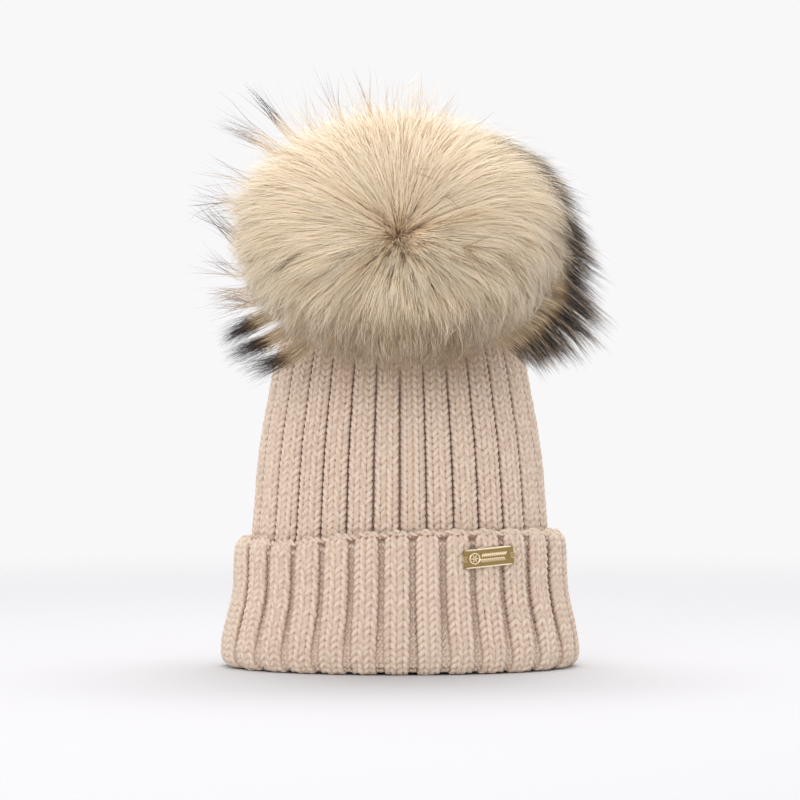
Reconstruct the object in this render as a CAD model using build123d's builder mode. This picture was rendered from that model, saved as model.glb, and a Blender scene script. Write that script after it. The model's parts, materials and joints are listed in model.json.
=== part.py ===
from build123d import *
import os
from math import asin, cos, degrees, radians, sin, sqrt

# A rib-knit beanie with a turned-up cuff and a snap-on fur pom pom. Millimetres, +Z up.
# The origin is the centre of the head opening, in the plane the folded cuff rests on; the front is -Y.

# Knitted form: half width (along X) of the outside of the body at each height.
BODY_OUTLINE = ((5.0, 96.5), (44, 90.5), (79, 86), (120, 82.5), (149, 78), (186, 70))
CROWN_OUTLINE = ((203, 57), (213, 38), (218, 19))
DEPTH_RATIO = 0.60           # front-to-back size over side-to-side size of the body
KNIT_WALL = 5.5
TIE_YARN_R, TIE_YARN_CORD_R = 21.2, 1.2

# Turned-up cuff: (half width, height) of its outside, from the fold to the free edge
CUFF_OUTLINE = ((104, 9), (102.6, 20), (97.3, 44), (96.2, 66), (96, 71))
CUFF_EDGE_BULGE, CUFF_EDGE = (94.2, 76), (90.6, 77.5)
CUFF_INSIDE = ((87.3, 74.5), (91.0, 44))
CUFF_DEPTH_RATIO = 0.62
CUFF_GAP = 0.4
FOLD_INNER_R, FOLD_OUTER_R, FOLD_BULGE = 91.0, 98.5, (102.7, 2.8)
FOLD_HEIGHT = 4.6
FOLD_SINK = 0.4              # how far the round fold is flattened where it rests

# Pom pom axis: hinged on the crown's tip, resting forward and a little up
TIP = Vector(0, 0, 225)
REST_ANGLE = 16.0            # degrees above horizontal
KNOT_R = 12.0
KNOT_FACE = 10.5             # distance of the flat snap face from the tip
POST_R = 1.2
POST_CLEARANCE = 0.05

# Press stud
FELT_R, FELT_START, FELT_END = 6.0, 10.6, 12.0
STUD_FLANGE_R, STUD_START, STUD_FLANGE_END = 5.5, 12.1, 12.8
STUD_NECK_R, STUD_HEAD_R, STUD_HEAD_START, STUD_TOP = 1.9, 2.5, 14.8, 16.3
SOCKET_R, SOCKET_BORE_R, SOCKET_START, SOCKET_ROOF, SOCKET_END = 6.2, 2.85, 13.3, 16.5, 17.0
GROOVE_R, GROOVE_START, GROOVE_END = 4.0, 13.7, 14.7
SPRING_R, SPRING_WIRE_R = 3.2, 0.4

# Pom pom
BASE_DISC_R, BASE_DISC_START, BASE_DISC_END = 14.0, 17.1, 18.6
RIVET_CAP_R, RIVET_CAP_START, RIVET_CAP_END = 6.0, 18.7, 19.6
PELT_CENTRE, PELT_R, PELT_WALL, PELT_MOUTH_R = 49.5, 30.5, 1.4, 7.5
DRAWSTRING_R, DRAWSTRING_CORD_R, DRAWSTRING_AT = 8.8, 0.8, 22.8
STUFFING_R, STUFFING_START = 28.8, 24.0
FUR_CENTRE, FUR_R, FUR_WIDENING = 73.0, 69.0, 4 / 3   # a ball, wider than it is tall
FUR_BACK, FUR_WALL, FUR_BACK_HOLE_R = 31.0, 6.0, 28.6
FUR_GAP = 0.4
GUARD_HALF_WIDTH, GUARD_HALF_HEIGHT, GUARD_SHIFT = 110.0, 84.0, (4, 6)
GUARD_START, GUARD_THICK = 52.0, 10.0

# Metal plate sewn to the cuff
PLATE_X, PLATE_Z, PLATE_TURN = 50.0, 66.5, 4.3
PLATE_LENGTH, PLATE_HEIGHT, PLATE_THICK, PLATE_CORNER_R = 30.5, 11.0, 0.9, 1.2
PLATE_RIM, PLATE_RIM_RISE, PLATE_STANDOFF = 0.7, 0.35, 0.6
PLATE_HOLE_R, PLATE_HOLE_X = 0.9, 13.6
ORNAMENT_X, ORNAMENT_R, ORNAMENT_RING = -9.2, 3.2, 0.45
THREAD_R = 0.35

# Labels sewn inside
BACK_LABEL_SIZE, BACK_LABEL_Y, BACK_LABEL_Z = (44, 18, 0.6), 47.0, 56.0
CARE_LABEL_SIZE, CARE_LABEL_X, CARE_LABEL_TOP = (18, 32, 0.8), -80.2, 62.0
STITCH_R = 0.4

os.makedirs("parts", exist_ok=True)

tilt = radians(REST_ANGLE)
pom_axis = Vector(0, -cos(tilt), sin(tilt))
pom_plane = Plane(origin=TIP, x_dir=(1, 0, 0), z_dir=pom_axis)
profile_plane = Plane(origin=TIP, x_dir=(1, 0, 0), z_dir=(0, -sin(tilt), -cos(tilt)))
pom_line = Axis(TIP, pom_axis)


def finish(builder, name):
    builder.part.label = name
    export_step(builder.part, f"parts/{name}.step")


def oval(builder_form, depth_ratio):
    """The same form with its front-to-back size reduced."""
    return scale(builder_form, by=(1, depth_ratio, 1))


# Knitted body: one wall of 2x2 rib from the folded edge to the gathered crown
body_outside = [(half, height) for height, half in BODY_OUTLINE + CROWN_OUTLINE]
body_inside = [(half - KNIT_WALL, height) for height, half in BODY_OUTLINE]
crown_inside = [(half - KNIT_WALL, height - KNIT_WALL) for height, half in CROWN_OUTLINE]

with BuildPart() as body_round:
    with BuildSketch(Plane.XZ):
        with BuildLine():
            Spline(*body_outside, tangents=((-0.15, 1), (-1, 0.1)))
            Line(body_outside[-1], crown_inside[-1])
            Spline(*body_inside, *crown_inside, tangents=((-0.15, 1), (-1, 0.1)))
            Line(body_inside[0], body_outside[0])
        make_face()
    revolve(axis=Axis.Z)

with BuildPart() as knit_body:
    add(oval(body_round.part, DEPTH_RATIO))
finish(knit_body, "knit_body")

# Turned-up cuff: the same fabric folded outward and up, with the fold under the body's edge
body_foot = body_outside[0][0]
with BuildPart() as cuff_round:
    with BuildSketch(Plane.XZ):
        with BuildLine():
            Line((FOLD_INNER_R, -FOLD_SINK), (FOLD_OUTER_R, -FOLD_SINK))
            ThreePointArc((FOLD_OUTER_R, -FOLD_SINK), FOLD_BULGE, CUFF_OUTLINE[0])
            Spline(*CUFF_OUTLINE, tangents=((0, 1), (0, 1)))
            ThreePointArc(CUFF_OUTLINE[-1], CUFF_EDGE_BULGE, CUFF_EDGE)
            Line(CUFF_EDGE, CUFF_INSIDE[0])
            Spline(*CUFF_INSIDE, (body_foot + CUFF_GAP, FOLD_HEIGHT))
            Line((body_foot + CUFF_GAP, FOLD_HEIGHT), (FOLD_INNER_R, FOLD_HEIGHT))
            Line((FOLD_INNER_R, FOLD_HEIGHT), (FOLD_INNER_R, -FOLD_SINK))
        make_face()
    revolve(axis=Axis.Z)

with BuildPart() as turned_up_cuff:
    add(oval(cuff_round.part, CUFF_DEPTH_RATIO))
    split(bisect_by=Plane.XY, keep=Keep.TOP)
finish(turned_up_cuff, "turned_up_cuff")

# Yarn drawn round the crown's opening
with BuildPart() as tie_round:
    with Locations((0, 0, CROWN_OUTLINE[-1][0] + 2.2)):
        Torus(TIE_YARN_R, TIE_YARN_CORD_R)

with BuildPart() as crown_tie_yarn:
    add(oval(tie_round.part, DEPTH_RATIO))
finish(crown_tie_yarn, "crown_tie_yarn")

# Gathered tip of the crown: a round knot of fabric that bends over with the pom pom
with BuildPart() as crown_knot:
    with Locations(TIP):
        Sphere(KNOT_R)
    split(bisect_by=pom_plane.offset(KNOT_FACE), keep=Keep.BOTTOM)
    with BuildSketch(pom_plane.offset(KNOT_FACE)):
        Circle(POST_R + 0.3)
    extrude(amount=-6.5, mode=Mode.SUBTRACT)
    with BuildSketch(pom_plane.offset(3.8)):
        Circle(4.8)
    extrude(amount=1.4, mode=Mode.SUBTRACT)
finish(crown_knot, "crown_knot")

with BuildPart() as felt_washer:
    with BuildSketch(pom_plane.offset(FELT_START)):
        Circle(FELT_R)
        Circle(POST_R + 0.3, mode=Mode.SUBTRACT)
    extrude(amount=FELT_END - FELT_START)
finish(felt_washer, "felt_washer")

# Cap inside the knot whose post carries the stud
with BuildPart() as stud_cap:
    with BuildSketch(pom_plane.offset(4.0)):
        Circle(4.5)
    extrude(amount=1.0)
    with BuildSketch(pom_plane.offset(5.0)):
        Circle(POST_R)
    extrude(amount=9.4)
finish(stud_cap, "stud_cap")

with BuildPart() as snap_stud:
    with BuildSketch(profile_plane):
        with BuildLine():
            Polyline(
                (POST_R + POST_CLEARANCE, STUD_START),
                (STUD_FLANGE_R, STUD_START),
                (STUD_FLANGE_R, STUD_FLANGE_END),
                (STUD_NECK_R, STUD_FLANGE_END),
                (STUD_NECK_R, STUD_HEAD_START - 0.3),
                (STUD_HEAD_R, STUD_HEAD_START),
                (STUD_HEAD_R, STUD_TOP - 0.8),
                (STUD_HEAD_R - 0.7, STUD_TOP),
                (0, STUD_TOP),
                (0, STUD_HEAD_START),
                (POST_R + POST_CLEARANCE, STUD_HEAD_START),
                close=True,
            )
        make_face()
    revolve(axis=pom_line)
finish(snap_stud, "snap_stud")

# Ring spring that grips the stud's neck from inside the socket
with BuildPart() as snap_spring:
    with Locations(pom_plane.offset((GROOVE_START + GROOVE_END) / 2)):
        Torus(SPRING_R, SPRING_WIRE_R)
finish(snap_spring, "snap_spring")

with BuildPart() as snap_socket:
    with BuildSketch(profile_plane):
        with BuildLine():
            Polyline(
                (SOCKET_BORE_R, SOCKET_START),
                (SOCKET_R, SOCKET_START),
                (SOCKET_R, SOCKET_END),
                (0, SOCKET_END),
                (0, SOCKET_ROOF),
                (SOCKET_BORE_R, SOCKET_ROOF),
                (SOCKET_BORE_R, GROOVE_END),
                (GROOVE_R, GROOVE_END),
                (GROOVE_R, GROOVE_START),
                (SOCKET_BORE_R, GROOVE_START),
                close=True,
            )
        make_face()
    revolve(axis=pom_line)
finish(snap_socket, "snap_socket")

with BuildPart() as pom_base_disc:
    with BuildSketch(pom_plane.offset(BASE_DISC_START)):
        Circle(BASE_DISC_R)
        Circle(POST_R + 0.3, mode=Mode.SUBTRACT)
    extrude(amount=BASE_DISC_END - BASE_DISC_START)
finish(pom_base_disc, "pom_base_disc")

with BuildPart() as socket_rivet:
    with BuildSketch(pom_plane.offset(RIVET_CAP_START)):
        Circle(RIVET_CAP_R)
    extrude(amount=RIVET_CAP_END - RIVET_CAP_START)
    with BuildSketch(pom_plane.offset(BASE_DISC_START)):
        Circle(POST_R)
    extrude(amount=RIVET_CAP_START - BASE_DISC_START)
finish(socket_rivet, "socket_rivet")

# Fur skin gathered into a ball, with its mouth towards the crown
with BuildPart() as pom_pelt:
    with Locations(pom_plane.offset(PELT_CENTRE)):
        Sphere(PELT_R)
        Sphere(PELT_R - PELT_WALL, mode=Mode.SUBTRACT)
    with BuildSketch(pom_plane.offset(PELT_CENTRE - PELT_R - 1)):
        Circle(PELT_MOUTH_R)
    extrude(amount=8, mode=Mode.SUBTRACT)
finish(pom_pelt, "pom_pelt")

with BuildPart() as pom_drawstring:
    with Locations(pom_plane.offset(DRAWSTRING_AT)):
        Torus(DRAWSTRING_R, DRAWSTRING_CORD_R)
finish(pom_drawstring, "pom_drawstring")

with BuildPart() as pom_stuffing:
    with Locations(pom_plane.offset(PELT_CENTRE)):
        Sphere(STUFFING_R)
    split(bisect_by=pom_plane.offset(STUFFING_START), keep=Keep.TOP)
finish(pom_stuffing, "pom_stuffing")

# Fur: the outer layer of the hair, as a hollow dome that is flat where it meets the crown
inner_r = FUR_R - FUR_WALL
outer_back_angle = degrees(asin((FUR_BACK - FUR_CENTRE) / FUR_R))
inner_back_angle = degrees(asin((FUR_BACK + FUR_WALL - FUR_CENTRE) / inner_r))

with BuildPart() as fur_round:
    with BuildSketch(profile_plane):
        with BuildLine():
            outer = CenterArc((0, FUR_CENTRE), FUR_R, outer_back_angle, 90 - outer_back_angle)
            inner = CenterArc((0, FUR_CENTRE), inner_r, inner_back_angle, 90 - inner_back_angle)
            Line(outer @ 1, inner @ 1)
            Polyline(
                inner @ 0,
                (FUR_BACK_HOLE_R, FUR_BACK + FUR_WALL),
                (FUR_BACK_HOLE_R, FUR_BACK),
                outer @ 0,
            )
        make_face()
    revolve(axis=pom_line)

with BuildPart() as pom_fur:
    add(scale(fur_round.part, by=(FUR_WIDENING, 1, 1)))
finish(pom_fur, "pom_fur")

# Long dark-tipped guard hair standing out round the back of the fur
with BuildPart() as pom_guard_hair:
    with BuildSketch(pom_plane.offset(GUARD_START)):
        with Locations(GUARD_SHIFT):
            Ellipse(GUARD_HALF_WIDTH, GUARD_HALF_HEIGHT)
        Ellipse(FUR_R * FUR_WIDENING + FUR_GAP, FUR_R + FUR_GAP, mode=Mode.SUBTRACT)
    extrude(amount=GUARD_THICK)
finish(pom_guard_hair, "pom_guard_hair")

# Metal plate on the front of the cuff, its back parallel to the knit beneath it
plate_half_width = CUFF_OUTLINE[-2][0]
plate_half_depth = plate_half_width * CUFF_DEPTH_RATIO
plate_y = -plate_half_depth * sqrt(1 - (PLATE_X / plate_half_width) ** 2)
plate_normal = Vector(
    PLATE_X / plate_half_width ** 2, plate_y / plate_half_depth**2, 0
).normalized()
plate_side = Vector(0, 0, 1).cross(plate_normal) * -1
plate_length_dir = plate_side * -cos(radians(PLATE_TURN)) + Vector(0, 0, sin(radians(PLATE_TURN)))
plate_plane = Plane(
    origin=Vector(PLATE_X, plate_y, PLATE_Z) + plate_normal * PLATE_STANDOFF,
    x_dir=plate_length_dir,
    z_dir=plate_normal,
)

with BuildPart() as plate:
    with BuildSketch(plate_plane):
        RectangleRounded(PLATE_LENGTH, PLATE_HEIGHT, PLATE_CORNER_R)
        with Locations((PLATE_HOLE_X, 0), (-PLATE_HOLE_X, 0)):
            Circle(PLATE_HOLE_R, mode=Mode.SUBTRACT)
    extrude(amount=PLATE_THICK)
    with BuildSketch(plate_plane.offset(PLATE_THICK)):
        with Locations((0, PLATE_HEIGHT / 2 - PLATE_RIM), (0, PLATE_RIM - PLATE_HEIGHT / 2)):
            Rectangle(PLATE_LENGTH - 2 * PLATE_CORNER_R, PLATE_RIM)
        with Locations((ORNAMENT_X, 0)):
            Circle(ORNAMENT_R)
            Circle(ORNAMENT_R - ORNAMENT_RING, mode=Mode.SUBTRACT)
            RegularPolygon(1.5, 4)
    extrude(amount=PLATE_RIM_RISE)
finish(plate, "plate")


def plate_stitch(side):
    """A thread loop through one hole of the plate and over its end, down into the knit."""
    inner = side * PLATE_HOLE_X
    outer = side * (PLATE_LENGTH / 2 + 0.7)
    loop_plane = Plane(origin=plate_plane.origin, x_dir=plate_plane.x_dir, z_dir=-plate_plane.y_dir)
    low = -PLATE_STANDOFF - 1.2
    high = PLATE_THICK + THREAD_R + 0.15
    with BuildPart() as stitch:
        with BuildLine(loop_plane):
            path = FilletPolyline((inner, low), (inner, high), (outer, high), (outer, low), radius=0.6)
        with BuildSketch(Plane(origin=path @ 0, z_dir=path % 0)):
            Circle(THREAD_R)
        sweep()
    return stitch


for side, name in ((-1, "plate_stitch_left"), (1, "plate_stitch_right")):
    finish(plate_stitch(side), name)

# Woven label across the inside of the back, held by a bar of stitches at each end
label_width, label_height, label_thick = BACK_LABEL_SIZE
with BuildPart() as back_label:
    with Locations((0, BACK_LABEL_Y, BACK_LABEL_Z)):
        Box(label_width, label_thick, label_height)
finish(back_label, "back_label")

with BuildPart() as back_label_stitches:
    for end in (-1, 1):
        foot = (end * (label_width / 2 - 1.2), BACK_LABEL_Y - label_thick / 2 - STITCH_R - 0.1)
        with BuildSketch(Plane.XY.offset(BACK_LABEL_Z - label_height / 2 + 1)):
            with Locations(foot):
                Circle(STITCH_R)
        extrude(amount=label_height - 2)
finish(back_label_stitches, "back_label_stitches")

# Folded care label that hangs from its top edge at the side
care_width, care_length, care_thick = CARE_LABEL_SIZE
with BuildPart() as care_label:
    with Locations((CARE_LABEL_X, 0, CARE_LABEL_TOP - care_length / 2)):
        Box(care_thick, care_width, care_length)
finish(care_label, "care_label")

# Its seam: a thread along the top edge and five stitches out into the knit
with BuildPart() as care_label_stitches:
    seam_top = CARE_LABEL_TOP + STITCH_R + 0.7
    seam_end = care_width / 2
    with BuildSketch(Plane.XZ.offset(-seam_end)):
        with Locations((CARE_LABEL_X, seam_top)):
            Circle(STITCH_R)
    extrude(amount=care_width)
    with BuildSketch(Plane.YZ.offset(CARE_LABEL_X)):
        with Locations(*[(y, seam_top) for y in (-8, -4, 0, 4, 8)]):
            Circle(STITCH_R * 0.8)
    extrude(amount=-4.5)
finish(care_label_stitches, "care_label_stitches")
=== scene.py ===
"""A rib-knit beanie with a turned-up cuff, a snap-on fur pom pom and a small sewn metal plate."""

import json
import math

import bmesh
import bpy
import numpy as np
from bpy.props import FloatProperty, FloatVectorProperty, IntProperty, PointerProperty
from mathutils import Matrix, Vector


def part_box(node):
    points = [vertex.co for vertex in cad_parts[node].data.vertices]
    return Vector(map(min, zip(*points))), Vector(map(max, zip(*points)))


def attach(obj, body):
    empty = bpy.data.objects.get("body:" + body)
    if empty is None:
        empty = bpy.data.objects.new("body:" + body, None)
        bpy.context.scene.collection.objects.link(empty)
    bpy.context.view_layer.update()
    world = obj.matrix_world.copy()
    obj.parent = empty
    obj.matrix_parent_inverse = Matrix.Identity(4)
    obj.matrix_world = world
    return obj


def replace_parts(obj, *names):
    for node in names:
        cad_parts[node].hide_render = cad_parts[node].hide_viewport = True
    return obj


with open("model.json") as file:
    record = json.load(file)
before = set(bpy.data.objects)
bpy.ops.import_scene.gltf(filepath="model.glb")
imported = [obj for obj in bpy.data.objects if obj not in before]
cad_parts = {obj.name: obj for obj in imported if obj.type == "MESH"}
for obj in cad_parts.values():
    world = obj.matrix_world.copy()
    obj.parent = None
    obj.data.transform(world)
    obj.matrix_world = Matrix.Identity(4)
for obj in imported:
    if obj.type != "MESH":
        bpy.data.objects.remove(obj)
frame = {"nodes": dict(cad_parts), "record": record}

bl_info = {
    "name": "Pom Pom Beanie",
    "version": (1, 0, 0),
    "blender": (4, 5, 0),
    "location": "View3D > Sidebar > Beanie",
    "description": "Builds a rib-knit beanie with a fur pom pom around its packed frame",
    "category": "Mesh",
}

MM = 0.001
TURN = 2 * math.pi
YARN_SIDES = 6
HAIR_POINTS = 7


# ---------------------------------------------------------------- frame sizes


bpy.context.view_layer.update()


def node_box(name):
    """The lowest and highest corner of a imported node."""
    return [np.array(corner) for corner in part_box(name)]


JOINTS = {joint["name"]: joint for joint in frame["record"]["behaviour"]["joints"]}
TIP = np.array(JOINTS["pom_tilt"]["pos_m"], float)
POM_AXIS = np.array(JOINTS["pom_pull_off"]["axis"], float)
POM_UP = np.cross(POM_AXIS, (1.0, 0.0, 0.0))
BODY_HIGH = node_box("knit_body")[1]
CUFF_HIGH = node_box("turned_up_cuff")[1]
FUR_LOW, FUR_HIGH = node_box("pom_fur")
GUARD_LOW, GUARD_HIGH = node_box("pom_guard_hair")
PELT_LOW, PELT_HIGH = node_box("pom_pelt")
KNOT_R = (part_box("crown_knot")[1][0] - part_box("crown_knot")[0][0]) / 2

BODY_DEPTH_RATIO = BODY_HIGH[1] / BODY_HIGH[0]
CUFF_DEPTH_RATIO = CUFF_HIGH[1] / CUFF_HIGH[0]
CROWN_TOP = BODY_HIGH[2]
FUR_HALF = (FUR_HIGH - FUR_LOW)[[0, 2, 2]] / 2
FUR_CENTRE = np.array((0.0, FUR_LOW[1] + FUR_HALF[1], FUR_LOW[2] + FUR_HALF[2]))
PELT_R = (PELT_HIGH[0] - PELT_LOW[0]) / 2
PELT_CENTRE = (PELT_LOW + PELT_HIGH) / 2

# Half width and height along the outside of the knit, in millimetres
BODY_LINE = ((96.2, 8), (90.5, 44), (86, 79), (82.5, 120), (78, 149), (70, 186))
CROWN_LINE = ((57, 203), (38, 213), (19, 218), (14.5, 217), (11.5, 213.5))
CUFF_LINE = (
    (91.5, 6.5), (92.6, 1.9), (97.5, 0.2), (102, 2.6), (104, 9.3), (102.6, 20),
    (97.3, 44), (96.2, 64), (95.8, 71.5), (94.4, 76), (91, 78.2), (87.6, 76.4), (86.6, 72.5),
)


# ---------------------------------------------------------------- properties


def colour_setting(name, description, default):
    return FloatVectorProperty(
        name=name, description=description, default=default, subtype="COLOR", min=0, max=1
    )


def length_setting(name, description, default):
    return FloatProperty(name=name, description=description, default=default, unit="LENGTH")


def count_setting(name, description, default, low):
    return IntProperty(name=name, description=description, default=default, min=low)


class KnitSettings(bpy.types.PropertyGroup):
    ribs: count_setting("Ribs", "Ribs round the hat", 28, 12)
    course: length_setting("Course height", "Height of one row of stitches", 0.0039)
    yarn_radius: length_setting("Yarn radius", "Half the thickness of the yarn", 0.00155)
    wool: colour_setting("Wool", "Colour of the wool", (0.765, 0.628, 0.507))
    # Wool shade: darker wool reached by the random fibre tone and by painted shade in the grooves
    # between the plies; darkened further it is the painted shade of the cloth behind the stitches.
    wool_shade: colour_setting("Wool shade", "Colour between the plies", (0.62, 0.45, 0.345))
    # Painted shade deep between the stitches, where the yarn lies furthest in.
    painted_hollow_shade: colour_setting("Hollows", "Colour deep between the stitches", (0.34, 0.20, 0.13))


class FurSettings(bpy.types.PropertyGroup):
    hairs: count_setting("Hairs", "Hairs in the cream fur", 64000, 1000)
    guard_hairs: count_setting("Guard hairs", "Long dark hairs in the fringe", 7600, 100)
    root: colour_setting("Root", "Colour at the roots", (0.68, 0.42, 0.20))
    cream: colour_setting("Cream", "Colour of most of the hair", (0.87, 0.71, 0.49))
    tip: colour_setting("Tip", "Colour of the pale tips", (0.94, 0.85, 0.70))
    dark: colour_setting("Dark", "Colour of the dark tips", (0.022, 0.016, 0.016))
    seed: count_setting("Seed", "Seed of the random draws", 11, 0)


class TrimSettings(bpy.types.PropertyGroup):
    gold: colour_setting("Gold", "Colour of the plate", (0.80, 0.56, 0.22))
    bright_gold: colour_setting(
        "Bright gold", "Colour of the plate's rims and ornament", (0.97, 0.84, 0.62)
    )
    steel: colour_setting("Steel", "Colour of the press stud", (0.58, 0.57, 0.54))
    thread: colour_setting("Thread", "Colour of the sewing thread", (0.82, 0.62, 0.33))
    label: colour_setting("Label", "Colour of the woven labels", (0.86, 0.82, 0.75))


class StageSettings(bpy.types.PropertyGroup):
    camera_distance: length_setting("Camera distance", "From the hat to the camera", 2.4)
    camera_height: length_setting("Aim height", "Height that the camera looks at", 0.1545)
    camera_elevation: FloatProperty(
        name="Elevation", description="How far the camera looks down",
        default=math.radians(1.5), unit="ROTATION",
    )
    view_width: length_setting("View width", "Width of the view at the hat", 0.464)
    floor: colour_setting("Floor", "Colour of the floor", (0.62, 0.615, 0.627))
    sky: colour_setting("Surroundings", "Colour all round", (0.945, 0.94, 0.95))


# ---------------------------------------------------------------- mesh helpers


def unit(vectors):
    return vectors / np.maximum(np.linalg.norm(vectors, axis=-1, keepdims=True), 1e-12)


def make_piece(name, points, faces, material, body, smooth=True, attributes=None):
    """A mesh object on a body, from arrays of points and of equal-sided faces."""
    mesh = bpy.data.meshes.new(name)
    points = np.ascontiguousarray(points.reshape(-1, 3), np.float32)
    faces = np.ascontiguousarray(faces, np.int32)
    mesh.vertices.add(len(points))
    mesh.vertices.foreach_set("co", points.ravel())
    mesh.loops.add(faces.size)
    mesh.loops.foreach_set("vertex_index", faces.ravel())
    mesh.polygons.add(len(faces))
    mesh.polygons.foreach_set("loop_start", np.arange(0, faces.size, faces.shape[1], dtype=np.int32))
    mesh.polygons.foreach_set("use_smooth", np.full(len(faces), smooth))
    mesh.update(calc_edges=True)
    for key, values in (attributes or {}).items():
        kind = "FLOAT_VECTOR" if values.ndim == 2 else "FLOAT"
        field = "vector" if values.ndim == 2 else "value"
        layer = mesh.attributes.new(key, kind, "POINT")
        layer.data.foreach_set(field, np.ascontiguousarray(values, np.float32).ravel())
    mesh.materials.append(material)
    piece = bpy.data.objects.new(name, mesh)
    bpy.context.scene.collection.objects.link(piece)
    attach(piece, body)
    return piece


def tube_mesh(lines, radii, outward, sides=YARN_SIDES, closed=True):
    """Tubes round lines, an array of (line, point, 3), with the ring attribute of the yarn."""
    if closed:
        tangents = unit(np.roll(lines, -1, axis=1) - np.roll(lines, 1, axis=1))
    else:
        tangents = unit(np.gradient(lines, axis=1))
    across = unit(np.cross(tangents, outward))
    up = np.cross(across, tangents)
    angles = np.arange(sides) * TURN / sides
    ring = (
        across[:, :, None] * np.cos(angles)[:, None] + up[:, :, None] * np.sin(angles)[:, None]
    )
    radii = np.broadcast_to(radii, lines.shape[:2])
    points = lines[:, :, None] + ring * radii[:, :, None, None]
    steps = np.linalg.norm(np.diff(lines, axis=1, prepend=lines[:, :1]), axis=-1)
    along = np.cumsum(steps, axis=1)
    rings = np.empty(points.shape)
    rings[..., 0] = np.cos(angles)
    rings[..., 1] = np.sin(angles)
    rings[..., 2] = along[..., None]
    lifts = (ring * outward[:, :, None]).sum(axis=-1) * radii[:, :, None]
    count, length = lines.shape[:2]
    index = np.arange(count * length * sides).reshape(count, length, sides)
    first = index if closed else index[:, :-1]
    second = np.roll(index, -1, axis=1) if closed else index[:, 1:]
    faces = np.stack(
        (first, np.roll(first, -1, axis=2), np.roll(second, -1, axis=2), second), axis=-1
    )
    return points.reshape(-1, 3), faces.reshape(-1, 4), rings.reshape(-1, 3), lifts.reshape(-1)


def thread_mesh(line, radius, outward, closed=False, sides=YARN_SIDES):
    """One strand or several of even thickness, with one outward direction for all."""
    lines = np.asarray(line)
    lines = lines if lines.ndim == 3 else lines[None]
    outward = np.broadcast_to(outward, lines.shape)
    return tube_mesh(lines, np.full(lines.shape[:2], radius), outward, sides, closed)


def thread_piece(name, mesh, material, body):
    attributes = {"yarn_ring": mesh[2]}
    return make_piece(name, mesh[0], mesh[1], material, body, attributes=attributes)


def grid_faces(rows, columns, wrap=True):
    index = np.arange(rows * columns).reshape(rows, columns)
    if wrap:
        index = np.concatenate((index, index[:, :1]), axis=1)
    return np.stack(
        (index[:-1, :-1], index[:-1, 1:], index[1:, 1:], index[1:, :-1]), axis=-1
    ).reshape(-1, 4)


def join_meshes(parts):
    """Several (points, faces, ...) as one, with their faces renumbered."""
    offset, faces = 0, []
    for part in parts:
        faces.append(part[1] + offset)
        offset += len(part[0])
    merged = [np.concatenate([part[0] for part in parts]), np.concatenate(faces)]
    for extra in range(2, len(parts[0])):
        merged.append(np.concatenate([part[extra] for part in parts]))
    return merged


def curve_through(points, count):
    """A smooth line through points, as count points evenly spaced along it."""
    points = np.array(points, float)
    padded = np.vstack((2 * points[0] - points[1], points, 2 * points[-1] - points[-2]))
    steps = np.linspace(0, 1, 24, endpoint=False)[:, None]
    spans = []
    for before, start, end, after in zip(padded, padded[1:], padded[2:], padded[3:]):
        lead = (end - before) / 2
        trail = (after - start) / 2
        spans.append(
            start * (2 * steps**3 - 3 * steps**2 + 1)
            + lead * (steps**3 - 2 * steps**2 + steps)
            + end * (3 * steps**2 - 2 * steps**3)
            + trail * (steps**3 - steps**2)
        )
    line = np.vstack((*spans, points[-1:]))
    reach = np.concatenate(([0], np.cumsum(np.linalg.norm(np.diff(line, axis=0), axis=1))))
    even = np.linspace(0, reach[-1], count)
    return np.stack([np.interp(even, reach, line[:, i]) for i in range(line.shape[1])], axis=1)


def pom_points(points):
    """Points given as (right, up, along the pom pom's axis) from the crown's tip, in the frame."""
    points = np.asarray(points)
    return (
        TIP + points[..., :1] * np.array((1.0, 0, 0))
        + points[..., 1:2] * POM_UP + points[..., 2:3] * POM_AXIS
    )


def rubbing(field_points, waves, rng):
    """Smooth pseudo-random values from a few sine waves through space."""
    total = np.zeros(field_points.shape[:-1])
    for _ in range(waves[0]):
        direction = rng.normal(size=3) * waves[1]
        total += np.sin(field_points @ direction + rng.uniform(0, TURN))
    return total / math.sqrt(waves[0])


# ---------------------------------------------------------------- node groups


def new_group(name, inputs, outputs):
    """A shader node group with its sockets: (name, socket type, default) each."""
    group = bpy.data.node_groups.new(name, "ShaderNodeTree")
    for label, kind, default in inputs:
        socket = group.interface.new_socket(label, in_out="INPUT", socket_type=kind)
        if default is not None:
            socket.default_value = default
    for label, kind in outputs:
        group.interface.new_socket(label, in_out="OUTPUT", socket_type=kind)
    return group, group.nodes.new("NodeGroupInput"), group.nodes.new("NodeGroupOutput")


def add_node(tree, kind, inputs=None, **settings):
    """A node with its settings, and its inputs given as values or as sockets to link."""
    node = tree.nodes.new(kind)
    for key, value in settings.items():
        setattr(node, key, value)
    for key, value in (inputs or {}).items():
        if isinstance(value, bpy.types.NodeSocket):
            tree.links.new(value, node.inputs[key])
        else:
            node.inputs[key].default_value = value
    return node


def math_node(tree, operation, first, second=0.0, third=0.0):
    node = add_node(tree, "ShaderNodeMath", {0: first, 1: second, 2: third}, operation=operation)
    return node.outputs[0]


def mix_colours(tree, share, first, second, blend="MIX"):
    node = add_node(
        tree, "ShaderNodeMix", {0: share, 6: first, 7: second}, data_type="RGBA", blend_type=blend
    )
    return node.outputs[2]


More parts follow.
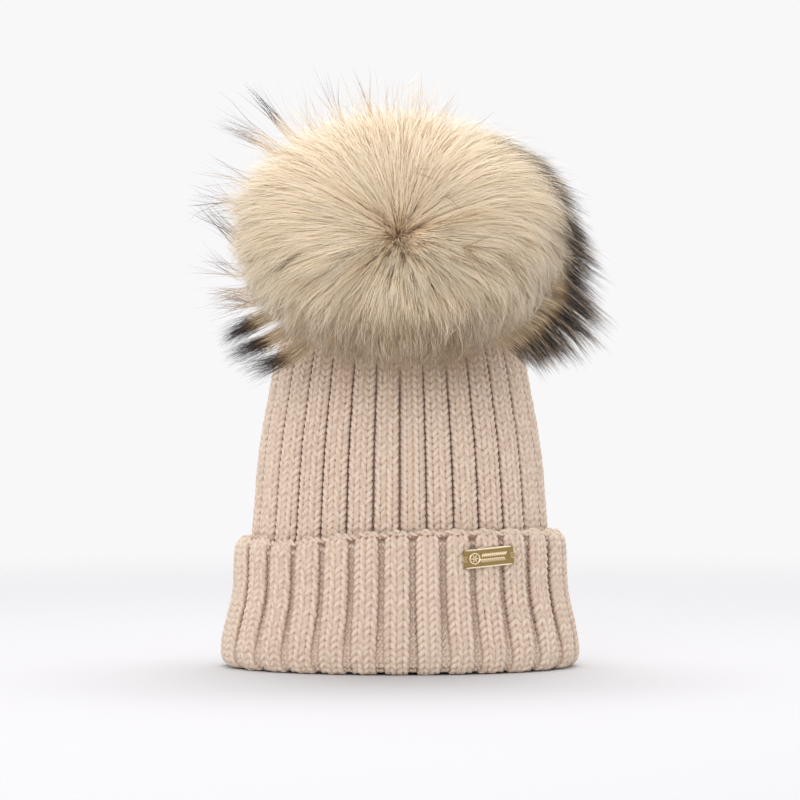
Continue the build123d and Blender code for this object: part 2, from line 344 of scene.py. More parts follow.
def fibre_group():
    """Fine fibres over any fabric: a tone for its colour and a height for its bump."""
    name = "Fine fibres"
    if name in bpy.data.node_groups:
        return bpy.data.node_groups[name]
    group, start, end = new_group(
        name,
        (("Scale", "NodeSocketFloat", 900.0), ("Stretch", "NodeSocketVector", (1, 1, 1))),
        (("Tone", "NodeSocketFloat"), ("Height", "NodeSocketFloat")),
    )
    place = add_node(group, "ShaderNodeTexCoord")
    stretched = add_node(
        group, "ShaderNodeVectorMath",
        {0: place.outputs["Object"], 1: start.outputs["Stretch"]}, operation="MULTIPLY",
    )
    fine = add_node(
        group, "ShaderNodeTexNoise",
        {"Vector": stretched.outputs[0], "Scale": start.outputs["Scale"], "Detail": 3.0,
         "Roughness": 0.6, "Distortion": 1.2},
    )
    broad = add_node(
        group, "ShaderNodeTexNoise",
        {"Vector": place.outputs["Object"], "Scale": 38.0, "Detail": 2.0},
    )
    tone = math_node(group, "MULTIPLY_ADD", fine.outputs["Fac"], 0.6, 0.0)
    tone = math_node(group, "MULTIPLY_ADD", broad.outputs["Fac"], 0.4, tone)
    group.links.new(tone, end.inputs["Tone"])
    group.links.new(fine.outputs["Fac"], end.inputs["Height"])
    return group


def ply_group():
    """Twisted plies, from the yarn's own ring attribute: a ridge and the groove between."""
    name = "Twisted plies"
    if name in bpy.data.node_groups:
        return bpy.data.node_groups[name]
    group, start, end = new_group(
        name,
        (("Plies", "NodeSocketFloat", 3.0), ("Twist per metre", "NodeSocketFloat", 900.0)),
        (("Ridge", "NodeSocketFloat"),),
    )
    ring = add_node(group, "ShaderNodeAttribute", attribute_name="yarn_ring")
    split = add_node(group, "ShaderNodeSeparateXYZ", {0: ring.outputs["Vector"]})
    angle = math_node(group, "ARCTAN2", split.outputs["Y"], split.outputs["X"])
    angle = math_node(group, "MULTIPLY", angle, start.outputs["Plies"])
    twist = math_node(group, "MULTIPLY_ADD", split.outputs["Z"], start.outputs["Twist per metre"], angle)
    wave = math_node(group, "SINE", twist)
    ridge = math_node(group, "MULTIPLY_ADD", wave, 0.5, 0.5)
    group.links.new(ridge, end.inputs["Ridge"])
    return group


def group_node(tree, group, inputs):
    """A node that uses a node group, with plain values on its inputs."""
    node = tree.nodes.new("ShaderNodeGroup")
    node.node_tree = group
    for key, value in (inputs or {}).items():
        node.inputs[key].default_value = value
    return node


def new_material(name, **values):
    """A material with one Principled shader and its plain values."""
    material = bpy.data.materials.new(name)
    material.use_nodes = True
    tree = material.node_tree
    shader = tree.nodes["Principled BSDF"]
    for key, value in values.items():
        shader.inputs[key.replace("_", " ")].default_value = value
    return material, tree, shader


def bump(tree, shader, height, distance, strength=1.0):
    node = add_node(
        tree, "ShaderNodeBump", {"Height": height, "Distance": distance, "Strength": strength}
    )
    tree.links.new(node.outputs["Normal"], shader.inputs["Normal"])


def opaque(colour):
    return (colour[0], colour[1], colour[2], 1.0)


def shaded(colour, share):
    return [channel * share for channel in colour]


def wool_material(name, knit):
    """Plied wool: ridges of the plies with painted shade in the grooves between them, fine fibres, and
    painted shade deep between the stitches.
    """
    material, tree, shader = new_material(
        name, Roughness=0.9, Sheen_Weight=0.3, Sheen_Roughness=0.5, Specular_IOR_Level=0.2
    )
    plies = group_node(tree, ply_group(), {"Twist per metre": 750.0})
    fibres = group_node(tree, fibre_group(), {"Scale": 1400.0})
    # The ply ridge paints shade into the grooves between the plies; the fibre tone adds random lighter
    # and darker fibres.
    ridge = math_node(tree, "MULTIPLY", plies.outputs["Ridge"], 0.6)
    ridge = math_node(tree, "MULTIPLY_ADD", fibres.outputs["Tone"], 0.7, ridge)
    ramp = add_node(tree, "ShaderNodeMapRange", {"Value": ridge, "From Min": 0.15, "From Max": 0.8})
    colour = mix_colours(tree, ramp.outputs[0], opaque(knit.wool_shade), opaque(knit.wool))
    # Painted shade: the deeper a point lies between the stitches, the more it takes the hollow colour.
    painted_shade_depth = add_node(tree, "ShaderNodeAttribute", attribute_name="painted_shade_depth")
    painted_hollow_shade = add_node(
        tree, "ShaderNodeMapRange", {"Value": painted_shade_depth.outputs["Fac"], "From Min": 0.08, "From Max": 0.95},
        interpolation_type="SMOOTHSTEP",
    )
    colour = mix_colours(tree, painted_hollow_shade.outputs[0], colour, opaque(knit.painted_hollow_shade))
    tree.links.new(colour, shader.inputs["Base Color"])
    height = math_node(tree, "MULTIPLY_ADD", fibres.outputs["Height"], 0.6, plies.outputs["Ridge"])
    bump(tree, shader, height, 0.00035, 0.7)
    return material


def fabric_material(name, colour, shade, scale=900.0, roughness=0.9, sheen=0.2, depth=0.0002):
    """Felted or brushed fabric with no weave of its own."""
    material, tree, shader = new_material(
        name, Roughness=roughness, Sheen_Weight=sheen, Specular_IOR_Level=0.2
    )
    fibres = group_node(tree, fibre_group(), {"Scale": scale})
    tone = mix_colours(tree, fibres.outputs["Tone"], opaque(shade), opaque(colour))
    tree.links.new(tone, shader.inputs["Base Color"])
    bump(tree, shader, fibres.outputs["Height"], depth)
    return material


def ground_material(knit):
    """The fabric behind the stitches, coloured as darkened wool: painted shade."""
    return material_once(
        "Wool ground", fabric_material, shaded(knit.wool_shade, 0.80), shaded(knit.wool_shade, 0.55)
    )


def hair_material(name, fur, roughness=0.5):
    """Hair shaded by where along it, how dark its tip is and its own tone."""
    material, tree, shader = new_material(
        name, Roughness=roughness, Specular_IOR_Level=0.35, Sheen_Weight=0.15
    )
    hair = add_node(tree, "ShaderNodeAttribute", attribute_name="hair")
    split = add_node(tree, "ShaderNodeSeparateXYZ", {0: hair.outputs["Vector"]})
    along, tone, dark = (split.outputs[axis] for axis in "XYZ")
    rise = add_node(tree, "ShaderNodeMapRange", {"Value": along, "From Min": 0.15, "From Max": 0.6})
    colour = mix_colours(tree, rise.outputs[0], opaque(fur.root), opaque(fur.cream))
    ending = add_node(tree, "ShaderNodeMapRange", {"Value": along, "From Min": 0.6, "From Max": 1.0})
    colour = mix_colours(tree, ending.outputs[0], colour, opaque(fur.tip))
    own = add_node(
        tree, "ShaderNodeMapRange", {"Value": tone, "To Min": 0.72, "To Max": 1.1, "From Max": 1.0}
    )
    own_tint = add_node(
        tree, "ShaderNodeCombineColor",
        {0: own.outputs[0], 1: own.outputs[0], 2: own.outputs[0]},
    )
    colour = mix_colours(tree, 1.0, colour, own_tint.outputs[0], "MULTIPLY")
    russet = mix_colours(tree, 0.45, opaque(fur.root), opaque(fur.dark))
    warm = add_node(tree, "ShaderNodeMapRange", {"Value": dark, "From Min": 0.1, "From Max": 0.45})
    colour = mix_colours(tree, warm.outputs[0], colour, russet)
    black = add_node(tree, "ShaderNodeMapRange", {"Value": dark, "From Min": 0.4, "From Max": 0.8})
    colour = mix_colours(tree, black.outputs[0], colour, opaque(fur.dark))
    tree.links.new(colour, shader.inputs["Base Color"])
    return material


def metal_material(name, colour, roughness):
    """Plated metal with a fine brushed grain and a little unevenness in its gloss."""
    material, tree, shader = new_material(
        name, Metallic=1.0, Roughness=roughness, Base_Color=opaque(colour)
    )
    fibres = group_node(tree, fibre_group(), {"Scale": 500.0, "Stretch": (0.3, 1.0, 6.0)})
    gloss = add_node(
        tree, "ShaderNodeMapRange",
        {"Value": fibres.outputs["Tone"], "To Min": roughness * 0.7, "To Max": roughness * 1.5},
    )
    tree.links.new(gloss.outputs[0], shader.inputs["Roughness"])
    bump(tree, shader, fibres.outputs["Height"], 0.00002)
    return material


def satin_material(name, colour):
    """Woven satin tape: fine bands of thread in one direction, with fine fibres."""
    material, tree, shader = new_material(
        name, Roughness=0.42, Sheen_Weight=0.3, Specular_IOR_Level=0.45
    )
    place = add_node(tree, "ShaderNodeTexCoord")
    warp = add_node(
        tree, "ShaderNodeTexWave", {"Vector": place.outputs["Object"], "Scale": 700.0,
                                    "Distortion": 0.6, "Detail": 1.0},
        bands_direction="Z",
    )
    fibres = group_node(tree, fibre_group(), {"Scale": 700.0})
    weave = math_node(tree, "MULTIPLY_ADD", fibres.outputs["Tone"], 0.4, warp.outputs["Fac"])
    shade = opaque(shaded(colour, 0.82))
    tone = mix_colours(tree, weave, shade, opaque(colour))
    tree.links.new(tone, shader.inputs["Base Color"])
    bump(tree, shader, weave, 0.00008)
    return material


def material_once(name, make, *values):
    return bpy.data.materials.get(name) or make(name, *values)


def wool_yarn(knit):
    return material_once("Wool yarn", wool_material, knit)


def felt():
    return material_once("Felt", fabric_material, (0.62, 0.47, 0.34), (0.45, 0.32, 0.22), 1200.0)


def sewing_thread(trim):
    return material_once("Sewing thread", thread_material, trim.thread)


# ---------------------------------------------------------------- knitting


class KnitSurface:
    """An oval tube of knitting: its outline, how deep it is for its width and how its top leans."""

    def __init__(self, outline, depth_ratio, lift=None):
        self.line = curve_through(np.array(outline) * MM, 400)
        steps = np.linalg.norm(np.diff(self.line, axis=0), axis=1)
        self.reach = np.concatenate(([0], np.cumsum(steps)))
        self.length = self.reach[-1]
        self.depth_ratio = depth_ratio
        self.lift = lift
        angles = np.linspace(0, TURN, 721)
        rim = np.stack((np.sin(angles), -depth_ratio * np.cos(angles)), axis=1)
        run = np.concatenate(([0], np.cumsum(np.linalg.norm(np.diff(rim, axis=0), axis=1))))
        self.angles, self.turns, self.perimeter = angles, run / run[-1], run[-1]

    def point(self, around, along):
        """The surface point at a share of a turn from the front and a distance along."""
        half = np.interp(along, self.reach, self.line[:, 0])
        height = np.interp(along, self.reach, self.line[:, 1])
        angle = np.interp(around % 1.0, self.turns, self.angles)
        if self.lift:
            height = height + self.lift(angle, along / self.length)
        return np.stack(
            (half * np.sin(angle), -self.depth_ratio * half * np.cos(angle), height), axis=-1
        )

    def outward(self, around, along):
        step = 1e-3
        sideways = self.point(around + step, along) - self.point(around - step, along)
        upward = self.point(around, along + step) - self.point(around, along - step)
        return unit(np.cross(sideways, upward))

    def half_width(self, along):
        return np.interp(along, self.reach, self.line[:, 0])


def eased(value):
    value = np.clip(value, 0, 1)
    return value * value * (3 - 2 * value)


def rib_profile(stitch, front_share):
    """Where a stitch position lies across its rib, and how far it is on the front layer."""
    place = stitch % 4.0
    across = np.where(
        place < 2.0,
        (place - 1.0) * front_share / 2,
        front_share / 2 + (place - 2.0) * (1 - front_share) / 2,
    )
    turn = 0.28
    rising = eased(place / turn * 0.5 + 0.5)
    falling = eased((2.0 - place) / turn * 0.5 + 0.5)
    returning = eased((place - 4.0) / turn * 0.5 + 0.5)
    front = np.where(place < 3.0, np.minimum(rising, falling), returning)
    return across, front


class Courses:
    """One style of rib knitting over a surface."""

    def __init__(self, surface, ribs, yarn_radius, course, front_share, valley, phase, seed,
                 upward=1, ease=None):
        self.surface, self.ribs, self.yarn_radius = surface, ribs, yarn_radius
        self.course, self.valley = course, valley
        self.phase, self.upward, self.ease = phase, upward, ease
        self.rng = np.random.default_rng(seed)
        self.shares = front_share + self.rng.uniform(-0.05, 0.035, ribs)

    def lines(self, starts):
        """Centre lines, outward directions, relief and girth of the yarn for these courses."""
        stitches = 4 * self.ribs
        samples = []
        for stitch in range(stitches):
            per = 14 if stitch % 4 < 2 else 8
            samples.append(stitch + np.arange(per) / per)
        sample = np.concatenate(samples)
        phase = (sample % 1.0) * TURN
        rows = np.array(starts)[:, None]
        sample = np.broadcast_to(sample, (len(starts), len(sample)))
        phase = np.broadcast_to(phase, sample.shape)
        column = np.floor(sample).astype(int)
        loose = self.rng.normal(0, 1, (len(starts), stitches))
        tall = self.rng.normal(1, 0.05, (len(starts), stitches))
        own_loose = np.take_along_axis(loose, column, 1)
        stitch = sample + (0.245 + 0.018 * own_loose) * np.sin(2 * phase)
        flat = np.zeros_like(rows) if self.ease is None else self.ease(rows / self.surface.length)
        share = self.shares[np.floor(sample / 4.0).astype(int) % self.ribs] - 0.07 * flat
        _, facing = rib_profile(sample, share)
        across, front = rib_profile(stitch, share)
        around = (np.floor(stitch / 4.0) + across + self.phase) / self.ribs
        rise = -0.9 * self.course * np.cos(phase) * np.take_along_axis(tall, column, 1)
        along = rows + rise * self.upward
        leg = np.sin(phase) ** 2
        depth = self.yarn_radius * (0.78 + 0.06 * own_loose) * -np.cos(2 * phase)
        depth = depth * (2 * facing - 1) * np.where(facing > 0.5, 1.0, 0.6)
        arch = 0.55 * self.yarn_radius * np.cos(np.clip(across / share, -0.5, 0.5) * math.pi)
        valley = self.valley * (1 - 0.85 * flat) * (1 - front)
        arch = arch * front * (1 - 0.5 * flat)
        depth = depth - valley + arch - 1.95 * self.yarn_radius
        # How deep the yarn lies, used for the painted shade between the stitches; purl bumps in the
        # valleys count as less deep, so their crests stay light.
        relief = depth + 0.72 * valley + 0.5 * self.yarn_radius * (1 - facing)
        place = self.surface.point(around, along)
        outward = self.surface.outward(around, along)
        girth = self.yarn_radius * np.where(facing > 0.5, 0.80 + 0.36 * leg, 0.80)
        return place + outward * depth[..., None], outward, relief, girth

    def thickness(self, girth, scale):
        noise = self.rng.normal(0, 0.05, girth.shape)
        kernel = np.ones(7) / 7
        smooth = np.apply_along_axis(lambda row: np.convolve(row, kernel, "same"), 1, noise)
        return girth * scale * (1 + 1.6 * smooth)


def yarn_attributes(mesh, relief, yarn_radius):
    """The ring round the yarn, and how deep between the stitches each point lies, which sets the painted
    shade there.
    """
    level = np.repeat(relief.reshape(-1), len(mesh[3]) // relief.size) + mesh[3]
    painted_shade_depth = np.clip((-0.1 * yarn_radius - level) / (2.3 * yarn_radius), 0, 1)
    return {"yarn_ring": mesh[2], "painted_shade_depth": painted_shade_depth}


def knit_bands(name, courses, starts, material, body, band=12, scale=None):
    """Yarn courses as bands of tubes, each band one piece."""
    pieces, meshes = [], []
    for first in range(0, len(starts), band):
        rows = starts[first:first + band]
        lines, outward, relief, girth = courses.lines(rows)
        size = np.ones(len(rows)) if scale is None else scale(np.array(rows))
        mesh = tube_mesh(lines, courses.thickness(girth, size[:, None]), outward)
        label = f"{name}_{first // band + 1}"
        pieces.append(make_piece(
            label, mesh[0], mesh[1], material, body,
            attributes=yarn_attributes(mesh, relief, courses.yarn_radius)
        ))
        meshes.append((mesh[0], outward))
    return pieces, meshes


def fuzz_piece(name, meshes, count, material, body, seed, reach=(0.0015, 0.0045)):
    """Loose fibres that stand off the yarn, as fine tapered slivers."""
    rng = np.random.default_rng(seed)
    points = np.concatenate([mesh[0].reshape(-1, YARN_SIDES, 3) for mesh in meshes])
    centres = points.mean(axis=1)
    outward = np.concatenate([mesh[1].reshape(-1, 3) for mesh in meshes])
    pick = rng.integers(0, len(points), count)
    side = rng.integers(0, YARN_SIDES, count)
    start = points[pick, side]
    away = unit(start - centres[pick])
    keep = (away * outward[pick]).sum(axis=1) > 0.1
    start, away = start[keep], away[keep]
    count = len(start)
    wander = rng.normal(size=(count, 3))
    direction = unit(away * 0.8 + wander * 0.75)
    length = rng.uniform(*reach, (count, 1))
    curl = unit(rng.normal(size=(count, 3))) * length * 0.35
    middle = start + direction * length * 0.5 + curl * 0.5
    end = start + direction * length + curl * -0.2
    width = unit(np.cross(direction, rng.normal(size=(count, 3)))) * 0.00004
    verts = np.stack((start - width, start + width, middle + width * 0.8, middle - width * 0.8,
                      end + width * 0.2, end - width * 0.2), axis=1)
    verts[..., 2] = np.maximum(verts[..., 2], 0.0003)
    index = np.arange(count)[:, None] * 6
    faces = np.concatenate((index + (0, 1, 2, 3), index + (3, 2, 4, 5)))
    return make_piece(name, verts.reshape(-1, 3), faces, material, body)


def knit_cloth(name, surface, material, body, inset, rows, rim_inset=None):
    """The inside of the fabric, behind the stitches, as one sheet round the hat."""
    columns = 224
    around = np.broadcast_to(np.arange(columns) / columns, (rows, columns))
    share = np.linspace(0, 0.985, rows)[:, None]
    along = share * surface.length + 0 * around
    depth = inset + ((rim_inset or inset) - inset) * eased((share - 0.76) / 0.1)
    points = surface.point(around, along) - surface.outward(around, along) * depth[..., None]
    return make_piece(name, points, grid_faces(rows, columns), material, body)


def cuff_lift(angle, share):
    """The cuff's free edge arches up at the front and droops at its left."""
    front = (np.sqrt(np.cos(angle) ** 2 + 0.03) + np.cos(angle)) / 2
    sideways = (angle + math.pi) % TURN - math.pi
    slump = 0.0032 * np.exp(-((sideways + 0.75) / 0.35) ** 2)
    rise = -0.0020 + 0.0052 * front + 0.0020 * np.sin(angle) - slump
    return rise * eased((share - 0.25) / 0.6)


def cuff_ease(share):
    """How much the ribs flatten at the fold and again at the free edge."""
    return np.maximum(1 - eased((share - 0.15) / 0.35), 0.9 * eased((share - 0.80) / 0.10))


# ---------------------------------------------------------------- hair


def near_groups(directions, centres):
    """For each direction, the nearest of the centres."""
    best = np.empty(len(directions), int)
    for first in range(0, len(directions), 4000):
        part = directions[first:first + 4000]
        best[first:first + 4000] = np.argmax(part @ centres.T, axis=1)
    return best


WHORL_TILT = math.radians(4.5)


def look_direction(polar, turn):
    """Directions from the whorl: polar angle away from it, and turn round it from the right."""
    ahead, up = np.cos(polar), np.sin(polar) * np.sin(turn)
    lean, level = math.sin(WHORL_TILT), math.cos(WHORL_TILT)
    return np.stack(
        (np.sin(polar) * np.cos(turn), up * lean - ahead * level, up * level + ahead * lean), axis=-1
    )


def off_the_hat(points, clearance):
    """Moves points that would be inside the hat to just in front of it."""
    heights = np.array([height for _, height in BODY_LINE + CROWN_LINE[:3]]) * MM
    halves = np.array([half for half, _ in BODY_LINE + CROWN_LINE[:3]]) * MM
    half = np.interp(points[..., 2], heights, halves)
    share = np.clip(points[..., 0] / half, -1, 1)
    front = -BODY_DEPTH_RATIO * half * np.sqrt(1 - share**2) - clearance
    inside = (points[..., 2] < CROWN_TOP) & (np.abs(points[..., 0]) < half) & (points[..., 1] < 0.03)
    points[..., 1] = np.where(inside, np.minimum(points[..., 1], front), points[..., 1])
    return points


def hair_mesh(lines, width, rng, attributes, roll=0.35):
    """Flat tapered hairs along lines (hair, point, 3), lying on the fur with a little roll."""
    count, length = lines.shape[:2]
    tangents = unit(np.gradient(lines, axis=1))
    outward = unit((lines - FUR_CENTRE) / FUR_HALF**2) + rng.normal(0, roll, (count, 1, 3))
    across = unit(np.cross(tangents, unit(outward)))
    taper = np.interp(np.linspace(0, 1, length), (0, 0.15, 0.6, 1), (0.6, 1.0, 0.85, 0.1))
    offset = across * (width[:, None] * taper)[..., None] / 2
    points = np.stack((lines + offset, lines - offset), axis=2)
    index = np.arange(count * length * 2).reshape(count, length, 2)
    faces = np.stack(
        (index[:, :-1, 0], index[:, :-1, 1], index[:, 1:, 1], index[:, 1:, 0]), axis=-1
    )
    values = np.repeat(attributes.reshape(-1, 3), 2, axis=0)
    return points.reshape(-1, 3), faces.reshape(-1, 4), values


def hair_pieces(name, mesh, count, material, body):
    """A hair mesh as count pieces of whole hairs."""
    points, faces, values = mesh
    per_hair = HAIR_POINTS * 2
    hairs = len(points) // per_hair
    edges = np.linspace(0, hairs, count + 1).astype(int)
    quads = HAIR_POINTS - 1
    pieces = []
    for number, (first, last) in enumerate(zip(edges, edges[1:]), 1):
        part = slice(first * per_hair, last * per_hair)
        own = faces[first * quads:last * quads] - first * per_hair
        label = f"{name}_{number}" if count > 1 else name
        pieces.append(make_piece(
            label, points[part], own, material, body, attributes={"hair": values[part]}
        ))
    return pieces


def hair_lines(root_polar, turn, tip_polar, tip_turn, tip_share, bend=1.7, rise=1.7):
    """Hairs from the pelt's ball out to shares of the fur's outer form."""
    share = np.linspace(0, 1, HAIR_POINTS)[None, :]
    climb = 1 - (1 - share) ** rise
    polar = root_polar[:, None] + (tip_polar - root_polar)[:, None] * share**bend
    sweep = turn[:, None] + (tip_turn - turn)[:, None] * share**bend
    direction = look_direction(polar, sweep)
    centre = PELT_CENTRE + (FUR_CENTRE - PELT_CENTRE) * climb[..., None]
    size = PELT_R * 0.97 + (FUR_HALF * tip_share[:, None, None] - PELT_R * 0.97) * climb[..., None]
    return centre + direction * size


def clump(lines, tips, centres, pull, rng):
    """Draws hairs towards the middle hair of their lock, more towards the tip."""
    group = near_groups(tips, centres)
    share = np.linspace(0, 1, lines.shape[1])[None, :, None]
    mean = np.zeros((len(centres), lines.shape[1], 3))
    weight = np.bincount(group, minlength=len(centres)).astype(float)
    for axis in range(3):
        for point in range(lines.shape[1]):
            mean[:, point, axis] = np.bincount(
                group, weights=lines[:, point, axis], minlength=len(centres)
            )
    mean /= np.maximum(weight, 1)[:, None, None]
    strength = pull * rng.uniform(0.4, 1.0, (len(lines), 1, 1)) * share**1.6
    return lines + (mean[group] - lines) * strength, group


# ---------------------------------------------------------------- operators


class BEANIE_OT_stage(bpy.types.Operator):
    """Floor, surroundings, lights and camera"""

    bl_idname = "beanie.stage"
    bl_label = "Stage"

    def execute(self, context):
        stage = context.scene.beanie_stage
        scene = context.scene
        scene.view_settings.view_transform = "Standard"
        world = bpy.data.worlds.new("Surroundings")
        world.use_nodes = True
        scene.world = world
        background = world.node_tree.nodes["Background"]
        background.inputs["Color"].default_value = opaque(stage.sky)
        background.inputs["Strength"].default_value = 1.0

        floor_mesh = bpy.data.meshes.new("floor")
        reach = 3.0
        corners = [(-reach, -reach, 0), (reach, -reach, 0), (reach, reach, 0), (-reach, reach, 0)]
        floor_mesh.from_pydata(corners, [], [(0, 1, 2, 3)])
        floor = bpy.data.objects.new("floor", floor_mesh)
        scene.collection.objects.link(floor)
        material, tree, shader = new_material("Pale floor", Roughness=0.9, Specular_IOR_Level=0.1)
        shader.inputs["Base Color"].default_value = opaque(stage.floor)
        place = add_node(tree, "ShaderNodeTexCoord")
        distance = add_node(
            tree, "ShaderNodeVectorMath", {0: place.outputs["Object"]}, operation="LENGTH"
        )
        fade = add_node(
            tree, "ShaderNodeMapRange",
            {"Value": distance.outputs["Value"], "From Min": 0.45, "From Max": 1.1},
            interpolation_type="SMOOTHSTEP",
        )
        clear = add_node(tree, "ShaderNodeBsdfTransparent")
        mix = add_node(
            tree, "ShaderNodeMixShader",
            {0: fade.outputs[0], 1: shader.outputs[0], 2: clear.outputs[0]},
        )
        tree.links.new(mix.outputs[0], tree.nodes["Material Output"].inputs["Surface"])
        floor_mesh.materials.append(material)

        self.lamp("Soft box above", (0.05, 0.04, 1.35), (0, -0.03, 0.25), 1.0, 11.7)
        self.lamp("Front fill", (-0.5, -1.5, 0.6), (0, 0, 0.15), 1.4, 8.0)

        aim = Vector((0, 0, stage.camera_height))
        away = Vector((0, -math.cos(stage.camera_elevation), math.sin(stage.camera_elevation)))
        data = bpy.data.cameras.new("Camera")
        data.sensor_width = 36.0
        data.lens = data.sensor_width * stage.camera_distance / stage.view_width
        data.clip_end = 50
        camera = bpy.data.objects.new("Camera", data)
        camera.location = aim + away * stage.camera_distance
        camera.rotation_euler = (-away).to_track_quat("-Z", "Y").to_euler()
        scene.collection.objects.link(camera)
        scene.camera = camera
        return {"FINISHED"}

    def lamp(self, name, place, target, size, power):
        data = bpy.data.lights.new(name, "AREA")
        data.shape = "DISK"
        data.size = size
        data.energy = power
        lamp = bpy.data.objects.new(name, data)
        lamp.location = place
        lamp.rotation_euler = (Vector(target) - Vector(place)).to_track_quat("-Z", "Y").to_euler()
        bpy.context.scene.collection.objects.link(lamp)


class BEANIE_OT_body(bpy.types.Operator):
    """Knitted body and crown, course by course"""

    bl_idname = "beanie.body"
    bl_label = "Knitted body"

    def execute(self, context):
        knit = context.scene.beanie_knit
        wool = wool_yarn(knit)
        ground = ground_material(knit)
        surface = KnitSurface(BODY_LINE + CROWN_LINE, BODY_DEPTH_RATIO)
        starts = np.arange(0.5, surface.length / knit.course - 0.3) * knit.course
        widths = surface.half_width(starts)
        tall = starts[: int(np.argmax(widths < 0.050))] if (widths < 0.050).any() else starts
        crown = starts[len(tall):]
        body = Courses(surface, knit.ribs, knit.yarn_radius, knit.course, 0.90, 0.0027, 0.5, 1)

        def narrowing(rows):
            half = surface.half_width(rows)
            return np.interp(half, (0.05, 0.07, 0.09), (0.72, 0.9, 1.0))

        pieces, meshes = knit_bands(
            "knit_courses", body, tall, wool, "hat", scale=narrowing
        )
        gathered = Courses(
            surface, knit.ribs // 2, knit.yarn_radius, knit.course, 0.92, 0.0030, 0.5, 2
        )

        def gathering(rows):
            half = surface.half_width(rows)
            return np.interp(half, (0.011, 0.03, 0.05), (0.5, 0.8, 1.0))

        crown_pieces, crown_meshes = knit_bands(
            "crown_courses", gathered, crown, wool, "hat", 26, gathering
        )
        cloth = knit_cloth("body_cloth", surface, ground, "hat", 0.0053, 130)
        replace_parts(cloth, "knit_body")
        fuzz = fuzz_piece("body_fuzz", meshes + crown_meshes, 26000, wool, "hat", 5)
        return {"FINISHED"}


class BEANIE_OT_cuff(bpy.types.Operator):
    """Turned-up cuff, with its fold and its soft free edge"""

    bl_idname = "beanie.cuff"
    bl_label = "Turned-up cuff"

    def execute(self, context):
        knit = context.scene.beanie_knit
        wool = wool_yarn(knit)
        ground = ground_material(knit)
        surface = KnitSurface(CUFF_LINE, CUFF_DEPTH_RATIO, cuff_lift)
        starts = np.arange(0.6, 0.955 * surface.length / knit.course) * knit.course
        courses = Courses(
            surface, knit.ribs, knit.yarn_radius, knit.course, 0.78, 0.0021, 0.9, 3, -1, cuff_ease
        )

        def full(rows):
            return np.full(len(rows), 1.04)

        pieces, meshes = knit_bands(
            "cuff_courses", courses, starts, wool, "hat", scale=full
        )
        cloth = knit_cloth("cuff_cloth", surface, ground, "hat", 0.0052, 90, 0.0037)
        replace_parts(cloth, "turned_up_cuff")
        edge = self.free_edge(surface, courses, wool)
        fuzz = fuzz_piece("cuff_fuzz", meshes, 20000, wool, "hat", 6)
        return {"FINISHED"}

    def free_edge(self, surface, courses, wool):
        """Two strands twisted along the free edge, dipping in at each valley."""
        count = courses.ribs * 4 * 7
        around = np.arange(count) / count
        top = 0.925 * surface.length
        valley = np.cos((around * courses.ribs - courses.phase) * TURN)
        outward = surface.outward(around, np.full(count, top))
        strands = []
        for strand in range(2):
            twist = around * courses.ribs * 4 * math.pi + strand * math.pi
            along = top + 0.0011 * np.cos(twist)
            depth = 0.0010 * np.sin(twist) - 0.0016 + 0.0009 * valley
            strands.append(surface.point(around, along) + outward * depth[:, None])
        mesh = thread_mesh(np.stack(strands), 0.0012, outward, closed=True)
        return thread_piece("cuff_edge", mesh, wool, "hat")


class BEANIE_OT_crown_tip(bpy.types.Operator):
    """Gathered tip of the crown, its tie yarn and felt washer"""

    bl_idname = "beanie.crown_tip"
    bl_label = "Crown tip"

    def execute(self, context):
        knit = context.scene.beanie_knit
        wool = wool_yarn(knit)
        ball = [
            (KNOT_R / MM * math.sin(angle), -KNOT_R / MM * math.cos(angle))
            for angle in np.radians((22, 50, 80, 110, 135, 150))
        ]
        surface = KnitSurface(ball, 1.0)
        starts = np.arange(0.5, surface.length / 0.0024) * 0.0024
        courses = Courses(surface, 9, 0.0009, 0.0024, 0.9, 0.0012, 0.0, 8)
        lines, outward, relief, _ = courses.lines(starts)
        lines = pom_points(lines)
        outward = unit(pom_points(outward) - TIP)
        half = surface.half_width(starts)
        radii = np.broadcast_to(np.interp(half, (0.004, 0.012), (0.0005, 0.00095))[:, None],
                                lines.shape[:2])
        mesh = tube_mesh(lines, radii, outward, sides=5)
        knot = make_piece("crown_knot_courses", mesh[0], mesh[1], wool, "crown_tip",
                          attributes=yarn_attributes(mesh, relief, 0.0009))
        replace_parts(knot, "crown_knot")
        self.core(surface, knit)
        self.tie_yarn(wool)
        self.washer()
        return {"FINISHED"}

    def core(self, surface, knit):
        """The fabric behind the knot's stitches."""
        ground = ground_material(knit)
        rows, columns = 24, 72
        around = np.broadcast_to(np.arange(columns) / columns, (rows, columns))
        along = np.broadcast_to(np.linspace(0, surface.length, rows)[:, None], around.shape)
        pleat = 0.0003 * np.cos(around * 9 * TURN)
        points = surface.point(around, along) * 0.86
        points = points * (1 + pleat[..., None] / KNOT_R)
        make_piece("crown_knot_core", pom_points(points), grid_faces(rows, columns), ground,
                   "crown_tip")

    def tie_yarn(self, wool):
        """Three turns of yarn drawn round the opening."""
        low, high = node_box("crown_tie_yarn")
        middle = (low[2] + high[2]) / 2
        half = (high[0] - 0.0012, high[1] - 0.0008)
        angle = np.linspace(0, TURN, 160, endpoint=False)
        lines = []
        for turn in range(3):
            wobble = 0.0004 * np.sin(angle * (5 + turn) + turn)
            shift = (turn - 1) * 0.0008
            lines.append(np.stack((
                (half[0] + wobble) * np.sin(angle), -(half[1] + wobble) * np.cos(angle),
                middle + shift * 0.5 + 0.0004 * np.sin(angle * 3 + 2 * turn),
            ), axis=1))
        mesh = thread_mesh(np.stack(lines), 0.0008, (0.0, 0.0, 1.0), closed=True)
        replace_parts(thread_piece("tie_yarn_turns", mesh, wool, "hat"), "crown_tie_yarn")

    def washer(self):
        ring = disc_piece("felt_washer_disc", 0.0016, 0.006, 0.0106, 0.0120, 0.0004, felt(),
                          "crown_tip")
        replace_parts(ring, "felt_washer")


